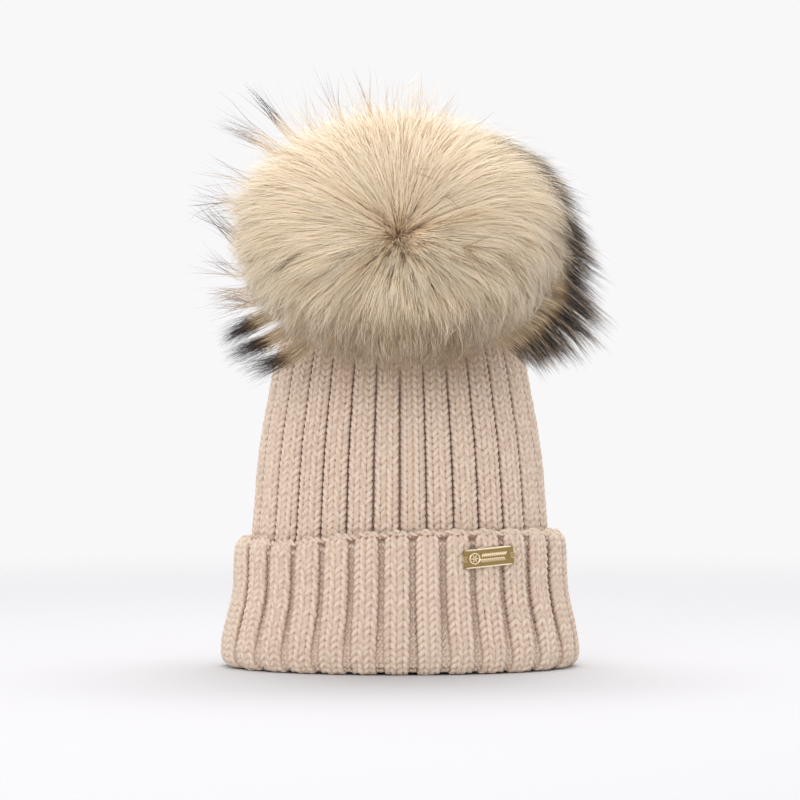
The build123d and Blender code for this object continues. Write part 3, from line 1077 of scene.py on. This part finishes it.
def disc_piece(name, inner, outer, low, high, rounding, material, body, wave=0.0):
    """A flat ring with rounded edges on the pom pom's axis."""
    columns = 96
    angle = np.arange(columns) / columns * TURN
    soft = rounding * (1 - math.sqrt(0.5))
    section = [
        (inner, low + rounding), (inner, high - rounding), (inner + soft, high - soft),
        (inner + rounding, high), (outer - rounding, high), (outer - soft, high - soft),
        (outer, high - rounding), (outer, low + rounding), (outer - soft, low + soft),
        (outer - rounding, low), (inner + rounding, low), (inner + soft, low + soft),
    ]
    rows = []
    for radius, height in section + section[:1]:
        ripple = 1 + wave * np.sin(angle * 11) * (radius > inner * 2)
        rows.append(np.stack((radius * ripple * np.cos(angle), radius * ripple * np.sin(angle),
                              np.full(columns, height)), axis=1))
    points = pom_points(np.stack(rows))
    return make_piece(name, points, grid_faces(len(rows), columns), material, body)


class BEANIE_OT_press_stud(bpy.types.Operator):
    """Plated metal for the press stud, its spring and its caps"""

    bl_idname = "beanie.press_stud"
    bl_label = "Press stud"

    def execute(self, context):
        trim = context.scene.beanie_trim
        steel = metal_material("Nickel plate", trim.steel, 0.28)
        spring = metal_material("Spring steel", shaded(trim.steel, 0.7), 0.35)
        for name, material in (("stud_cap", steel), ("snap_stud", steel), ("snap_socket", steel),
                               ("socket_rivet", steel), ("snap_spring", spring)):
            slots = frame["nodes"][name].data.materials
            if not len(slots):
                slots.append(material)
            for number in range(len(slots)):
                slots[number] = material
        return {"FINISHED"}


class BEANIE_OT_pom_core(bpy.types.Operator):
    """Gathered skin, stuffing, base disc and drawstring of the pom pom"""

    bl_idname = "beanie.pom_core"
    bl_label = "Pom pom core"

    def execute(self, context):
        trim = context.scene.beanie_trim
        skin = fabric_material("Fur skin", (0.72, 0.60, 0.46), (0.55, 0.42, 0.30), 700.0, 0.7, 0.1)
        centre = float((PELT_CENTRE - TIP) @ POM_AXIS)
        pelt = self.ball("pelt_ball", PELT_R, centre, 0.0075, skin, "pelt_skin", 0.0010)
        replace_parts(pelt, "pom_pelt")
        fibre = fabric_material("Stuffing fibre", (0.90, 0.89, 0.86), (0.74, 0.73, 0.70), 260.0)
        filling = self.ball("stuffing_ball", 0.0284, centre, 0.0, fibre, "stuffing", 0.0005)
        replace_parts(filling, "pom_stuffing")
        disc = disc_piece("base_disc", 0.0015, 0.014, 0.0171, 0.0186, 0.0004, felt(), "pom_pom",
                          0.01)
        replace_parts(disc, "pom_base_disc")
        thread = sewing_thread(trim)
        angle = np.linspace(0, TURN, 120, endpoint=False)
        lines = []
        for strand in range(2):
            twist = angle * 16 + strand * math.pi
            radius = 0.0088 + 0.00038 * np.cos(twist)
            lines.append(pom_points(np.stack(
                (radius * np.cos(angle), radius * np.sin(angle), 0.0228 + 0.00038 * np.sin(twist)),
                axis=1)))
        mesh = thread_mesh(np.stack(lines), 0.0004, POM_AXIS, closed=True)
        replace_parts(thread_piece("drawstring_thread", mesh, thread, "pom_pom"), "pom_drawstring")
        return {"FINISHED"}

    def ball(self, name, radius, centre, mouth, material, slot, pucker):
        """A soft ball, gathered in small puckers round its mouth on the side of the crown."""
        rows, columns = 60, 120
        start = math.asin(mouth / radius) if mouth else math.radians(26)
        polar = np.linspace(start, math.pi, rows)[:, None]
        turn = np.arange(columns)[None, :] / columns * TURN
        gather = np.exp(-(polar - start) / 0.35)
        size = radius - pucker * (0.5 + 0.5 * np.cos(turn * 20)) * gather
        size = size - 0.0004 * (1 + np.sin(turn * 3 + polar * 4) * np.sin(polar * 5)) / 2
        points = np.stack((
            size * np.sin(polar) * np.cos(turn), size * np.sin(polar) * np.sin(turn),
            centre - size * np.cos(polar)), axis=-1)
        return make_piece(name, pom_points(points), grid_faces(rows, columns), material, "pom_pom")


class BEANIE_OT_fur(bpy.types.Operator):
    """Cream fur of the pom pom, hair by hair"""

    bl_idname = "beanie.fur"
    bl_label = "Cream fur"

    def execute(self, context):
        fur = context.scene.beanie_fur
        rng = np.random.default_rng(fur.seed)
        hair = material_once("Fur", hair_material, fur)
        count = fur.hairs
        middle = rng.random(count) < 0.16
        root = np.where(middle, 0.55 * rng.random(count),
                        np.arccos(rng.uniform(-0.90, 0.999, count)))
        turn = rng.uniform(0, TURN, count)
        lean = np.interp(root, (0, 0.5, 1.3, 2.4), (0.72, 0.58, 0.30, 0.08))
        lean = np.where(middle, lean * 0.75, lean)
        short = rng.random(count) ** np.where(middle, 1.6, 1.0)
        tip = root + lean * np.where(middle, 0.05 + 1.2 * short, 0.25 + short)
        side = np.cos(turn)
        droop = np.where(side > 0, -0.42, -0.22) * side * eased(root / 0.9)
        tip_turn = turn + droop + rng.normal(0, 0.06, count)
        lower = eased(0.55 - 0.75 * np.sin(tip_turn) * np.sin(tip))
        reach = 1 - rng.uniform(0, 0.06 + 0.10 * lower, count) + np.interp(
            tip, (0, 0.35, 0.6, 1.3, 1.8, 2.3, 2.75),
            (-0.04, -0.01, 0.0, 0.06, 0.09, 0.0, -0.25))
        above = eased(np.sin(turn) * 1.4) * eased(root - 0.6)
        reach = reach + np.maximum(rng.normal(0, 0.025, count), -0.05)
        reach = reach + (0.03 + 0.13 * above) * rng.random(count) ** 4
        climb = np.where(root < 0.9, 3.0, 2.2)[:, None]
        lines = hair_lines(root, turn, tip, tip_turn, reach, 1.45, climb)
        tips = look_direction(tip, tip_turn)
        locks = unit(rng.normal(size=(1500, 3)))
        clumped, group = clump(lines, tips, locks, 0.75, rng)
        lines = lines + (clumped - lines) * (0.12 + 0.88 * lower)[:, None, None]
        big = unit(rng.normal(size=(170, 3)))
        clumped, big_group = clump(lines, tips, big, 0.28, rng)
        lines = lines + (clumped - lines) * (0.1 + 0.9 * lower)[:, None, None]
        share = np.linspace(0, 1, HAIR_POINTS)[None, :, None]
        wander = rng.normal(0, 1, (count, 1, 3)) * 0.0015 * share**1.5
        lines = lines + wander + rng.normal(0, 0.00018, lines.shape) * share
        lines = off_the_hat(lines, rng.uniform(0.001, 0.007, (count, 1)))
        streak = rng.normal(0, 0.10, 1500)[group] + rng.normal(0, 0.10, 170)[big_group]
        # Painted light: hairs near the whorl are made paler to lift the shade where the hair converges.
        painted_whorl_light = 0.4 * np.exp(-(tip / 0.22) ** 2)
        uneven = (rng.normal(0, 0.13, count) + streak) * (0.25 + 0.9 * lower)
        tone = np.clip(0.55 + painted_whorl_light + uneven, 0, 1)
        under = self.whorl(tip, tip_turn)
        low_front = eased((-np.sin(tip_turn) * np.sin(tip) - 0.66) * 3.2)
        brown = np.clip(low_front * rng.uniform(-0.2, 0.85, count), 0, 1)
        values = np.empty((count, HAIR_POINTS, 3))
        values[..., 0] = share[..., 0] * under[:, None]
        values[..., 1] = tone[:, None]
        values[..., 2] = brown[:, None] * eased((share[..., 0] - 0.55) / 0.35)
        width = rng.uniform(0.00016, 0.00028, count)
        mesh = hair_mesh(lines, width, rng, values, 0.25)
        hair_pieces("cream_fur", mesh, 5, hair, "pom_pom")
        self.underfur(fur, rng)
        return {"FINISHED"}

    def whorl(self, tip, turn):
        """How far a hair's colour gets from the root's: less in the whorl and its streaks."""
        degrees = np.degrees(turn) % 360
        centre = np.interp(tip, (0.0, 0.12, 0.28, 0.45), (0.74, 0.83, 0.96, 1.0))
        streaks = 1.0
        for heading, spread, reach, depth in ((14, 9, 0.80, 0.33), (232, 12, 0.85, 0.30),
                                              (138, 8, 0.85, 0.16), (300, 10, 0.7, 0.12)):
            off = (degrees - heading + 180) % 360 - 180
            near = np.exp(-(off / spread) ** 2) * (1 - eased((tip - reach + 0.35) / 0.5))
            streaks = streaks * (1 - depth * near)
        return centre * streaks

    def underfur(self, fur, rng):
        """The dense short hair under the long hair, as one soft mass with a dimple in front."""
        under = fabric_material("Underfur", shaded(fur.cream, 0.95), shaded(fur.root, 0.9), 420.0,
                                0.95, 0.3, 0.0012)
        rows, columns = 70, 140
        polar = np.linspace(0.0005, 2.1, rows)[:, None]
        turn = np.arange(columns)[None, :] / columns * TURN
        direction = look_direction(polar + 0 * turn, turn + 0 * polar)
        lumps = rubbing(direction, (14, 6.0), rng)
        dimple = 0.03 * np.exp(-(polar / 0.42) ** 2)
        size = FUR_HALF * (0.80 + 0.012 * lumps - dimple)[..., None]
        centre = PELT_CENTRE * 0.25 + FUR_CENTRE * 0.75
        points = off_the_hat(centre + direction * size, 0.002)
        core = make_piece("underfur", points, grid_faces(rows, columns)[:, ::-1], under, "pom_pom")
        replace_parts(core, "pom_fur")


# Groups of guard hair, seen from the front in millimetres from the fur's middle and in degrees:
# right, up, scatter, heading, fan, length, hairs, how dark
TUFTS = (
    (-80.0, -43.7, 3.6, 208, 7, 23, 330, 1.0),
    (-72.5, -54.6, 3.6, 203, 7, 25, 360, 1.0),
    (-61.0, -64.0, 4.2, 200, 8, 27, 300, 0.95),
    (-84.0, -34.0, 4.0, 186, 12, 20, 60, 0.7),
)
STRAYS = (
    (-91.0, 1.0, 4.0, 138, 7, 31, 46, 0.9), (-96.0, 22.0, 4.5, 172, 14, 24, 30, 0.85),
    (-85.0, 33.0, 5.0, 160, 10, 30, 22, 0.6), (-77.0, 57.0, 5.0, 152, 9, 30, 44, 0.8),
    (-66.0, 66.0, 3.0, 129, 8, 29, 34, 1.0), (-36.5, 73.0, 2.5, 110, 9, 28, 12, 0.75),
    (-17.0, 76.0, 2.5, 109, 9, 25, 9, 0.7), (-6.0, 76.0, 5.0, 85, 14, 20, 16, 0.35),
    (23.0, 70.0, 3.0, 52, 10, 16, 9, 0.5), (37.0, 62.0, 3.5, 33, 10, 23, 10, 0.6),
    (-92.0, -16.0, 5.0, 155, 12, 25, 34, 0.8), (-88.0, -30.0, 6.0, 181, 12, 20, 60, 0.6),
    (-84.0, 14.0, 8.0, 150, 16, 24, 40, 0.5), (-50.0, 68.0, 8.0, 120, 16, 20, 40, 0.25),
    (10.0, 71.0, 14.0, 80, 18, 15, 90, 0.1), (-25.0, 70.0, 14.0, 105, 18, 16, 90, 0.1),
    (90.0, -6.0, 6.0, 5, 14, 24, 20, 0.3), (74.0, 30.0, 6.0, 10, 14, 24, 16, 0.3),
)
PATCHES = (
    (-57.0, -8.0, 1.2, 210, 3, 20, 20, 0.9), (-58.8, -35.0, 2.5, 205, 6, 17, 14, 0.6),
    (-50.0, -22.0, 6.0, 208, 9, 24, 26, 0.4), (25.4, 24.4, 1.2, -37, 4, 17, 6, 0.7),
    (36.3, -3.3, 0.7, 31, 4, 27, 7, 0.65), (36.3, -3.3, 0.7, -3, 4, 33, 8, 0.7),
    (37.4, -5.0, 1.6, -46, 5, 34, 18, 0.7), (30.2, -10.0, 1.3, -20, 5, 24, 9, 0.75),
    (60.0, -10.0, 8.0, -45, 8, 36, 60, 0.6), (8.6, 39.3, 1.5, -6, 12, 17, 9, 0.6),
    (52.0, -42.0, 12.0, -50, 9, 26, 150, 0.6), (28.0, -52.0, 18.0, -74, 9, 25, 380, 0.62),
    (0.0, -55.0, 16.0, -90, 9, 24, 260, 0.55), (-28.0, -52.0, 16.0, -104, 9, 24, 240, 0.55),
    (-54.0, -44.0, 9.0, -128, 9, 24, 90, 0.6),
)
# The fringe's inner edge round the right side, and the heading and length of its hair there
FRINGE = (
    (50.5, 57.5, -13, 20), (68.5, 45.5, -20, 22), (81.0, 31.0, -28, 23), (87.0, 15.5, -34, 26),
    (89.5, 2.0, -36, 27), (91.0, -13.5, -38, 31), (89.0, -31.0, -42, 33), (82.0, -41.0, -45, 32),
    (70.0, -53.0, -49, 25), (62.0, -58.0, -52, 14),
)


class BEANIE_OT_guard_hair(bpy.types.Operator):
    """Long guard hair: the dark fringe, the tufts and the stray hairs"""

    bl_idname = "beanie.guard_hair"
    bl_label = "Guard hair"

    def execute(self, context):
        fur = context.scene.beanie_fur
        rng = np.random.default_rng(fur.seed + 1)
        hair = material_once("Fur", hair_material, fur)
        fringe = hair_pieces("dark_fringe", self.fringe(rng, fur.guard_hairs), 1, hair, "pom_pom")
        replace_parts(fringe[0], "pom_guard_hair")
        for name, table, behind in (("dark_tufts", TUFTS, True), ("stray_hairs", STRAYS, True),
                                    ("dark_patches", PATCHES, False)):
            mesh = join_meshes([self.group(rng, row, behind) for row in table])
            hair_pieces(name, mesh, 1, hair, "pom_pom")
        return {"FINISHED"}

    def combed(self, rng, knee, tip, dark, width, split=0.18):
        """Hairs from the skin out to a knee, and then straight on to the tip."""
        count = len(knee)
        root = PELT_CENTRE + unit(knee - PELT_CENTRE) * PELT_R * 0.95
        start, end = knee - root, tip - knee
        share = np.array((0, 0.34, 0.7, 1.0))[None, :, None]
        bent = start[:, None] * share + 0.22 * share * (1 - share) * (
            unit(root - PELT_CENTRE) - unit(end))[:, None] * np.linalg.norm(start, axis=1)[:, None, None]
        reach = np.array((0.34, 0.7, 1.0))[None, :, None]
        droop = np.array((0, 0, -0.0012)) * rng.uniform(-1, 2, (count, 1, 1)) * reach**2
        lines = np.concatenate((root[:, None] + bent, knee[:, None] + end[:, None] * reach + droop), 1)
        lines[:, 1:] += rng.normal(0, 0.0002, (count, HAIR_POINTS - 1, 3))
        lines[..., 0] = np.maximum(lines[..., 0], GUARD_LOW[0] - 0.014)
        lines[..., 2] = np.minimum(lines[..., 2], GUARD_HIGH[2] + 0.016)
        lines = off_the_hat(lines, rng.uniform(0.001, 0.006, (count, 1)))
        values = np.empty((count, HAIR_POINTS, 3))
        values[..., 0] = np.array((0, 0.25, 0.5, 0.62, 0.7, 0.8, 0.9))
        values[..., 1] = np.clip(rng.normal(0.55, 0.15, (count, 1)), 0, 1)
        values[..., 2] = np.array((0, 0, 0, split, 0.85, 1, 1)) * dark[:, None]
        return hair_mesh(lines, width, rng, values, 0.8)

    def fringe(self, rng, count):
        """The thick dark fringe at the right, in pointed locks that sweep down."""
        table = np.array(FRINGE)
        run = np.concatenate(([0], np.cumsum(np.linalg.norm(np.diff(table[:, :2], axis=0), axis=1))))
        locks = 210
        where = rng.uniform(0, run[-1], locks)
        right, up, heading, length = (np.interp(where, run, table[:, i]) for i in range(4))
        heading = np.radians(heading + rng.normal(0, 4.5, locks))
        length = length * rng.uniform(0.62, 1.18, locks)
        deep = rng.uniform(-0.004, 0.034, locks) * 1000
        ends = np.stack((right + length * np.cos(heading), deep, up + length * np.sin(heading)), 1)
        ends[:, 1] += rng.normal(2, 3, locks)
        knees = np.stack((right, deep, up), 1)
        own = rng.integers(0, locks, count)
        lay = rng.normal(0, 1, (count, 3)) * (2.0, 2.5, 2.0)
        knee = knees[own] + lay
        tip = ends[own] + lay * rng.uniform(0.1, 0.75, (count, 1)) + rng.normal(0, 0.7, (count, 3))
        tip = knee + (tip - knee) * rng.uniform(0.7, 1.12, (count, 1))
        knee, tip = (FUR_CENTRE + points * MM for points in (knee, tip))
        dark = np.where(rng.random(count) < 0.8, 1.0, 0.35)
        return self.combed(rng, knee, tip, dark, rng.uniform(0.0002, 0.00033, count))

    def group(self, rng, row, behind):
        """One group of a table, behind the fur's edge or lying on its front."""
        right, up, scatter, heading, fan, length, hairs, dark = row
        knee = rng.normal(0, scatter, (hairs, 3)) * (1, 0.8, 1) * 0.6 + (right, 6 if behind else 0, up)
        angle = np.radians(heading + rng.normal(0, fan, hairs))
        size = length * rng.uniform(0.55, 1.12, hairs)
        tip = knee + np.stack((size * np.cos(angle), rng.normal(0, 3, hairs), size * np.sin(angle)), 1)
        if not behind:
            knee[:, 1], tip[:, 1] = (self.front(points) for points in (knee, tip))
            tip[:, 1] -= 1.5
        knee, tip = (FUR_CENTRE + points * MM for points in (knee, tip))
        width = rng.uniform(0.00016, 0.00027, hairs) * (1.15 if behind else 1)
        split = 0.18 if behind else 0.6
        return self.combed(rng, knee, tip, dark * rng.uniform(0.75, 1, hairs), width, split)

    def front(self, points):
        """The depth of the fur's front surface at these places, in millimetres."""
        half = FUR_HALF / MM
        inside = np.clip(1 - (points[:, 0] / half[0]) ** 2 - (points[:, 2] / half[2]) ** 2, 0, 1)
        return -half[1] * np.sqrt(inside) * 0.99


def thread_material(name, colour):
    """Sewing thread with two plies, with painted shade in the groove between them."""
    material, tree, shader = new_material(
        name, Roughness=0.5, Sheen_Weight=0.2, Specular_IOR_Level=0.4
    )
    plies = group_node(tree, ply_group(), {"Plies": 2.0, "Twist per metre": 3500.0})
    # Painted shade in the groove between the two plies: the ridge mixes the thread colour towards this
    # darker copy.
    shade = opaque(shaded(colour, 0.6))
    tone = mix_colours(tree, plies.outputs["Ridge"], shade, opaque(colour))
    tree.links.new(tone, shader.inputs["Base Color"])
    bump(tree, shader, plies.outputs["Ridge"], 0.00012)
    return material


class BEANIE_OT_plate(bpy.types.Operator):
    """Metal plate with its raised rims and ornament, and its thread loops"""

    bl_idname = "beanie.plate"
    bl_label = "Metal plate"

    length, height, thick = 0.0305, 0.0110, 0.0009
    corner, hole, hole_at = 0.0012, 0.0008, 0.0136
    rim_inset, rim_radius = 0.0005, 0.00055
    rosette_at, rosette_radius, petals = -0.0086, 0.0030, 6
    plait_start, plait_pitch, plait_bars, plait_row, plait_reach = -0.0042, 0.00118, 13, 0.0015, 0.0011

    def execute(self, context):
        trim = context.scene.beanie_trim
        self.read_place()
        face = metal_material("Gold face", shaded(trim.gold, 0.42), 0.34)
        plate = self.slab(face)
        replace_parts(plate, "plate")
        self.relief(metal_material("Gold relief", trim.bright_gold, 0.22))
        self.loops(sewing_thread(trim))
        return {"FINISHED"}

    def read_place(self):
        """The plate's own directions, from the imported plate's points."""
        mesh = frame["nodes"]["plate"].data
        points = np.empty(len(mesh.vertices) * 3, np.float32)
        mesh.vertices.foreach_get("co", points)
        points = points.reshape(-1, 3).astype(float)
        self.centre = (points.max(axis=0) + points.min(axis=0)) / 2
        _, _, directions = np.linalg.svd(points - points.mean(axis=0), full_matrices=False)
        self.right = directions[0] * np.sign(directions[0][0])
        self.out = directions[2] * -np.sign(directions[2][1])
        self.up = np.cross(self.out, self.right)
        depth = (points - self.centre) @ self.out
        self.centre = self.centre + self.out * depth.min()

    def place(self, points):
        points = np.asarray(points, float)
        return (
            self.centre + points[..., :1] * self.right + points[..., 1:2] * self.up
            + points[..., 2:3] * self.out
        )

    def slab(self, material):
        """A bevelled plate with a small hole at each end."""
        corner, hole = self.corner, self.hole
        shape = bmesh.new()
        outline = []
        for side_x, side_y, start in ((1, 1, 0), (-1, 1, 90), (-1, -1, 180), (1, -1, 270)):
            for step in range(5):
                angle = math.radians(start + step * 22.5)
                outline.append((
                    side_x * (self.length / 2 - corner) + corner * math.cos(angle),
                    side_y * (self.height / 2 - corner) + corner * math.sin(angle), 0))
        rings = [outline]
        for end in (-1, 1):
            rings.append([
                (end * self.hole_at + hole * math.cos(step * TURN / 16),
                 hole * math.sin(step * TURN / 16), 0)
                for step in range(16)])
        edges = []
        for ring in rings:
            verts = [shape.verts.new(point) for point in ring]
            edges += [shape.edges.new((a, b)) for a, b in zip(verts, verts[1:] + verts[:1])]
        bmesh.ops.triangle_fill(shape, use_beauty=True, edges=edges, normal=(0, 0, 1))
        solid = bmesh.ops.extrude_face_region(shape, geom=shape.faces[:])
        lifted = [item for item in solid["geom"] if isinstance(item, bmesh.types.BMVert)]
        bmesh.ops.translate(shape, vec=(0, 0, self.thick), verts=lifted)
        bmesh.ops.recalc_face_normals(shape, faces=shape.faces[:])
        for vert in shape.verts:
            vert.co = Vector(self.place(vert.co))
        mesh = bpy.data.meshes.new("plate_slab")
        shape.to_mesh(mesh)
        shape.free()
        mesh.materials.append(material)
        piece = bpy.data.objects.new("plate_slab", mesh)
        bpy.context.scene.collection.objects.link(piece)
        bevel = piece.modifiers.new("Soft edges", "BEVEL")
        bevel.width = 0.00016
        bevel.segments = 2
        bevel.limit_method = "ANGLE"
        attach(piece, "hat")
        return piece

    def bar(self, start, end, radius):
        """A half-round raised bar on the face, with rounded ends."""
        start, end = np.array((*start, self.thick)), np.array((*end, self.thick))
        steps = np.array((0, 0.02, 0.08, 0.5, 0.92, 0.98, 1))
        thickness = np.array((0.15, 0.6, 1, 1, 1, 0.6, 0.15)) * radius
        line = start + (end - start) * steps[:, None]
        line = self.place(line)[None]
        outward = np.broadcast_to(self.out, line.shape)
        return tube_mesh(line, thickness[None], outward, sides=8, closed=False)[:2]

    def ring(self, middle, radius, thickness):
        angle = np.linspace(0, TURN, 48, endpoint=False)
        line = np.stack((middle + radius * np.cos(angle), radius * np.sin(angle),
                         np.full(48, self.thick)), axis=1)
        return thread_mesh(self.place(line), thickness, self.out, closed=True, sides=8)[:2]

    def relief(self, material):
        """Raised rims, a ring with a rosette and two plaited rows."""
        parts = []
        rim = self.length / 2 - 0.0009
        for side in (-1, 1):
            height = side * (self.height / 2 - self.rim_inset)
            parts.append(self.bar((-rim, height), (rim, height), self.rim_radius))
        middle = self.rosette_at
        parts.append(self.ring(middle, self.rosette_radius, 0.00040))
        parts.append(self.ring(middle, 0.0007, 0.0003))
        for petal in range(self.petals):
            angle = petal * TURN / self.petals
            inner = (middle + 0.0011 * math.cos(angle), 0.0011 * math.sin(angle))
            outer = (middle + 0.0022 * math.cos(angle), 0.0022 * math.sin(angle))
            parts.append(self.bar(inner, outer, 0.00036))
        reach = self.plait_reach
        for row, lean in ((self.plait_row, 1), (-self.plait_row, -1)):
            for step in range(self.plait_bars):
                x = self.plait_start + step * self.plait_pitch
                parts.append(self.bar((x, row - reach), (x + lean * reach, row + reach), 0.00038))
        merged = join_meshes(parts)
        make_piece("plate_relief", merged[0], merged[1], material, "hat")

    def loops(self, thread):
        """Three turns of thread through each hole and over the plate's end."""
        for end, name in ((-1, "left"), (1, "right")):
            lines = []
            for turn in range(3):
                spread = (turn - 1) * 0.00055
                arc = np.linspace(-0.5, math.pi + 0.5, 20)
                reach = 0.0012 + 0.00012 * turn
                line = np.stack((
                    end * (0.0146 - reach * np.cos(arc)), spread * (1.2 + np.sin(arc)),
                    0.0004 + 0.0013 * np.sin(arc)), axis=1)
                lines.append(self.place(line))
            mesh = thread_mesh(np.stack(lines), 0.00034, self.up)
            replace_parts(thread_piece(f"plate_thread_{name}", mesh, thread, "hat"),
                        f"plate_stitch_{name}")


class BEANIE_OT_labels(bpy.types.Operator):
    """Woven labels sewn inside, with their stitches"""

    bl_idname = "beanie.labels"
    bl_label = "Inside labels"

    def execute(self, context):
        trim = context.scene.beanie_trim
        satin = satin_material("Woven satin", trim.label)
        thread = sewing_thread(trim)
        self.back_label(satin, thread)
        self.care_label(satin, thread)
        return {"FINISHED"}

    def back_label(self, satin, thread):
        """A straight tape, slightly bowed, with a row of stitches at each end."""
        low, high = node_box("back_label")
        middle = (low + high) / 2
        rows, columns = 12, 40
        x = np.linspace(low[0], high[0], columns)[None, :] + np.zeros((rows, 1))
        z = np.linspace(low[2], high[2], rows)[:, None] + np.zeros((1, columns))
        bow = 0.0006 * np.cos((x - middle[0]) / (high[0] - low[0]) * math.pi * 3)
        y = middle[1] + bow * 0.4
        points = np.stack((x, y, z), axis=-1)
        label = make_piece("back_label_tape", points, grid_faces(rows, columns, False), satin, "hat")
        solid = label.modifiers.new("Thickness", "SOLIDIFY")
        solid.thickness = 0.0005
        solid.offset = 0
        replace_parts(label, "back_label")
        parts = []
        for end in (low[0] + 0.0012, high[0] - 0.0012):
            for step in range(7):
                foot = low[2] + 0.0015 + step * (high[2] - low[2] - 0.003) / 7
                z = np.linspace(foot, foot + 0.0018, 9)
                arc = np.sin(np.linspace(0, math.pi, 9))
                line = np.stack((np.full(9, end), low[1] - 0.0003 - 0.0003 * arc, z), axis=1)
                parts.append(thread_mesh(line, 0.00022, (1.0, 0, 0)))
        piece = thread_piece("back_label_thread", join_meshes(parts), thread, "hat")
        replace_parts(piece, "back_label_stitches")

    def care_label(self, satin, thread):
        """A folded tape that hangs down from the seam, its fold at the bottom."""
        low, high = node_box("care_label")
        columns = 14
        seam_low, seam_high = node_box("care_label_stitches")
        seam = (seam_low[2] + seam_high[2]) / 2
        drop = high[2] - low[2]
        bend = 0.0011
        side = np.linspace(high[2], low[2] + bend, 16)
        turned = np.linspace(0, math.pi, 9)[1:-1]
        middle = (low[0] + high[0]) / 2
        gap = 0.0003
        bulge = bend * np.sin(math.pi * (high[2] - side) / drop)
        path = list(zip(middle + gap + 0.6 * bulge, side))
        path += [(middle + bend * 0.5 * math.cos(a), low[2] + bend - bend * math.sin(a)) for a in turned]
        path += list(zip(middle - gap - 0.3 * bulge[::-1], side[::-1]))
        y = np.linspace(low[1], high[1], columns)
        rows = [np.stack((np.full(columns, x), y, np.full(columns, z)), axis=1) for x, z in path]
        label = make_piece("care_label_tape", np.stack(rows), grid_faces(len(rows), columns, False),
                           satin, "care_tag")
        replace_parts(label, "care_label")
        hem_path = [(middle + 0.0003, high[2]), (middle + 0.0003, seam + 0.0004),
                    (middle - 0.0003, seam + 0.0004), (middle - 0.0003, high[2])]
        hem_rows = [np.stack((np.full(columns, x), y, np.full(columns, z)), 1) for x, z in hem_path]
        make_piece("care_label_hem", np.stack(hem_rows), grid_faces(4, columns, False), satin, "hat",
                   smooth=False)
        parts = []
        inner = middle + 0.0006
        for step in range(5):
            arc = np.linspace(0, math.pi, 13)
            out = seam_low[0] + (inner - seam_low[0]) * (0.5 - 0.5 * np.cos(arc))
            over = np.full(13, (step - 2) * 0.004)
            across = np.stack((out, over, seam + 0.0006 * np.sin(arc)), axis=1)
            parts.append(thread_mesh(across, 0.00026, (0, 1.0, 0)))
            y = np.linspace(-0.5, 0.5, 13) * 0.0030 + over
            bar = np.stack((inner + 0.0002 * np.sin(arc), y, np.full(13, seam)), axis=1)
            parts.append(thread_mesh(bar, 0.00026, (0, 0, 1.0)))
        piece = thread_piece("care_label_thread", join_meshes(parts), thread, "hat")
        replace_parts(piece, "care_label_stitches")


OPERATORS = (
    BEANIE_OT_stage, BEANIE_OT_body, BEANIE_OT_cuff, BEANIE_OT_crown_tip, BEANIE_OT_press_stud,
    BEANIE_OT_pom_core, BEANIE_OT_fur, BEANIE_OT_guard_hair, BEANIE_OT_plate, BEANIE_OT_labels,
)


class BEANIE_PT_panel(bpy.types.Panel):
    """Sizes, colours and build steps of the beanie"""

    bl_label = "Pom pom beanie"
    bl_idname = "BEANIE_PT_panel"
    bl_space_type = "VIEW_3D"
    bl_region_type = "UI"
    bl_category = "Beanie"

    def draw(self, context):
        for settings in (context.scene.beanie_knit, context.scene.beanie_fur,
                         context.scene.beanie_trim, context.scene.beanie_stage):
            box = self.layout.box()
            for key in settings.bl_rna.properties.keys():
                if key not in ("rna_type", "name"):
                    box.prop(settings, key)
        for operator in OPERATORS:
            self.layout.operator(operator.bl_idname)


CLASSES = (KnitSettings, FurSettings, TrimSettings, StageSettings, *OPERATORS, BEANIE_PT_panel)


def register():
    for cls in CLASSES:
        bpy.utils.register_class(cls)
    bpy.types.Scene.beanie_knit = PointerProperty(type=KnitSettings)
    bpy.types.Scene.beanie_fur = PointerProperty(type=FurSettings)
    bpy.types.Scene.beanie_trim = PointerProperty(type=TrimSettings)
    bpy.types.Scene.beanie_stage = PointerProperty(type=StageSettings)


def unregister():
    for key in ("beanie_knit", "beanie_fur", "beanie_trim", "beanie_stage"):
        delattr(bpy.types.Scene, key)
    for cls in reversed(CLASSES):
        bpy.utils.unregister_class(cls)


def main():
    register()
    bpy.ops.beanie.stage()
    bpy.ops.beanie.body()
    bpy.ops.beanie.cuff()
    bpy.ops.beanie.crown_tip()
    bpy.ops.beanie.press_stud()
    bpy.ops.beanie.pom_core()
    bpy.ops.beanie.fur()
    bpy.ops.beanie.guard_hair()
    bpy.ops.beanie.plate()
    bpy.ops.beanie.labels()


if __name__ == "__main__":
    main()
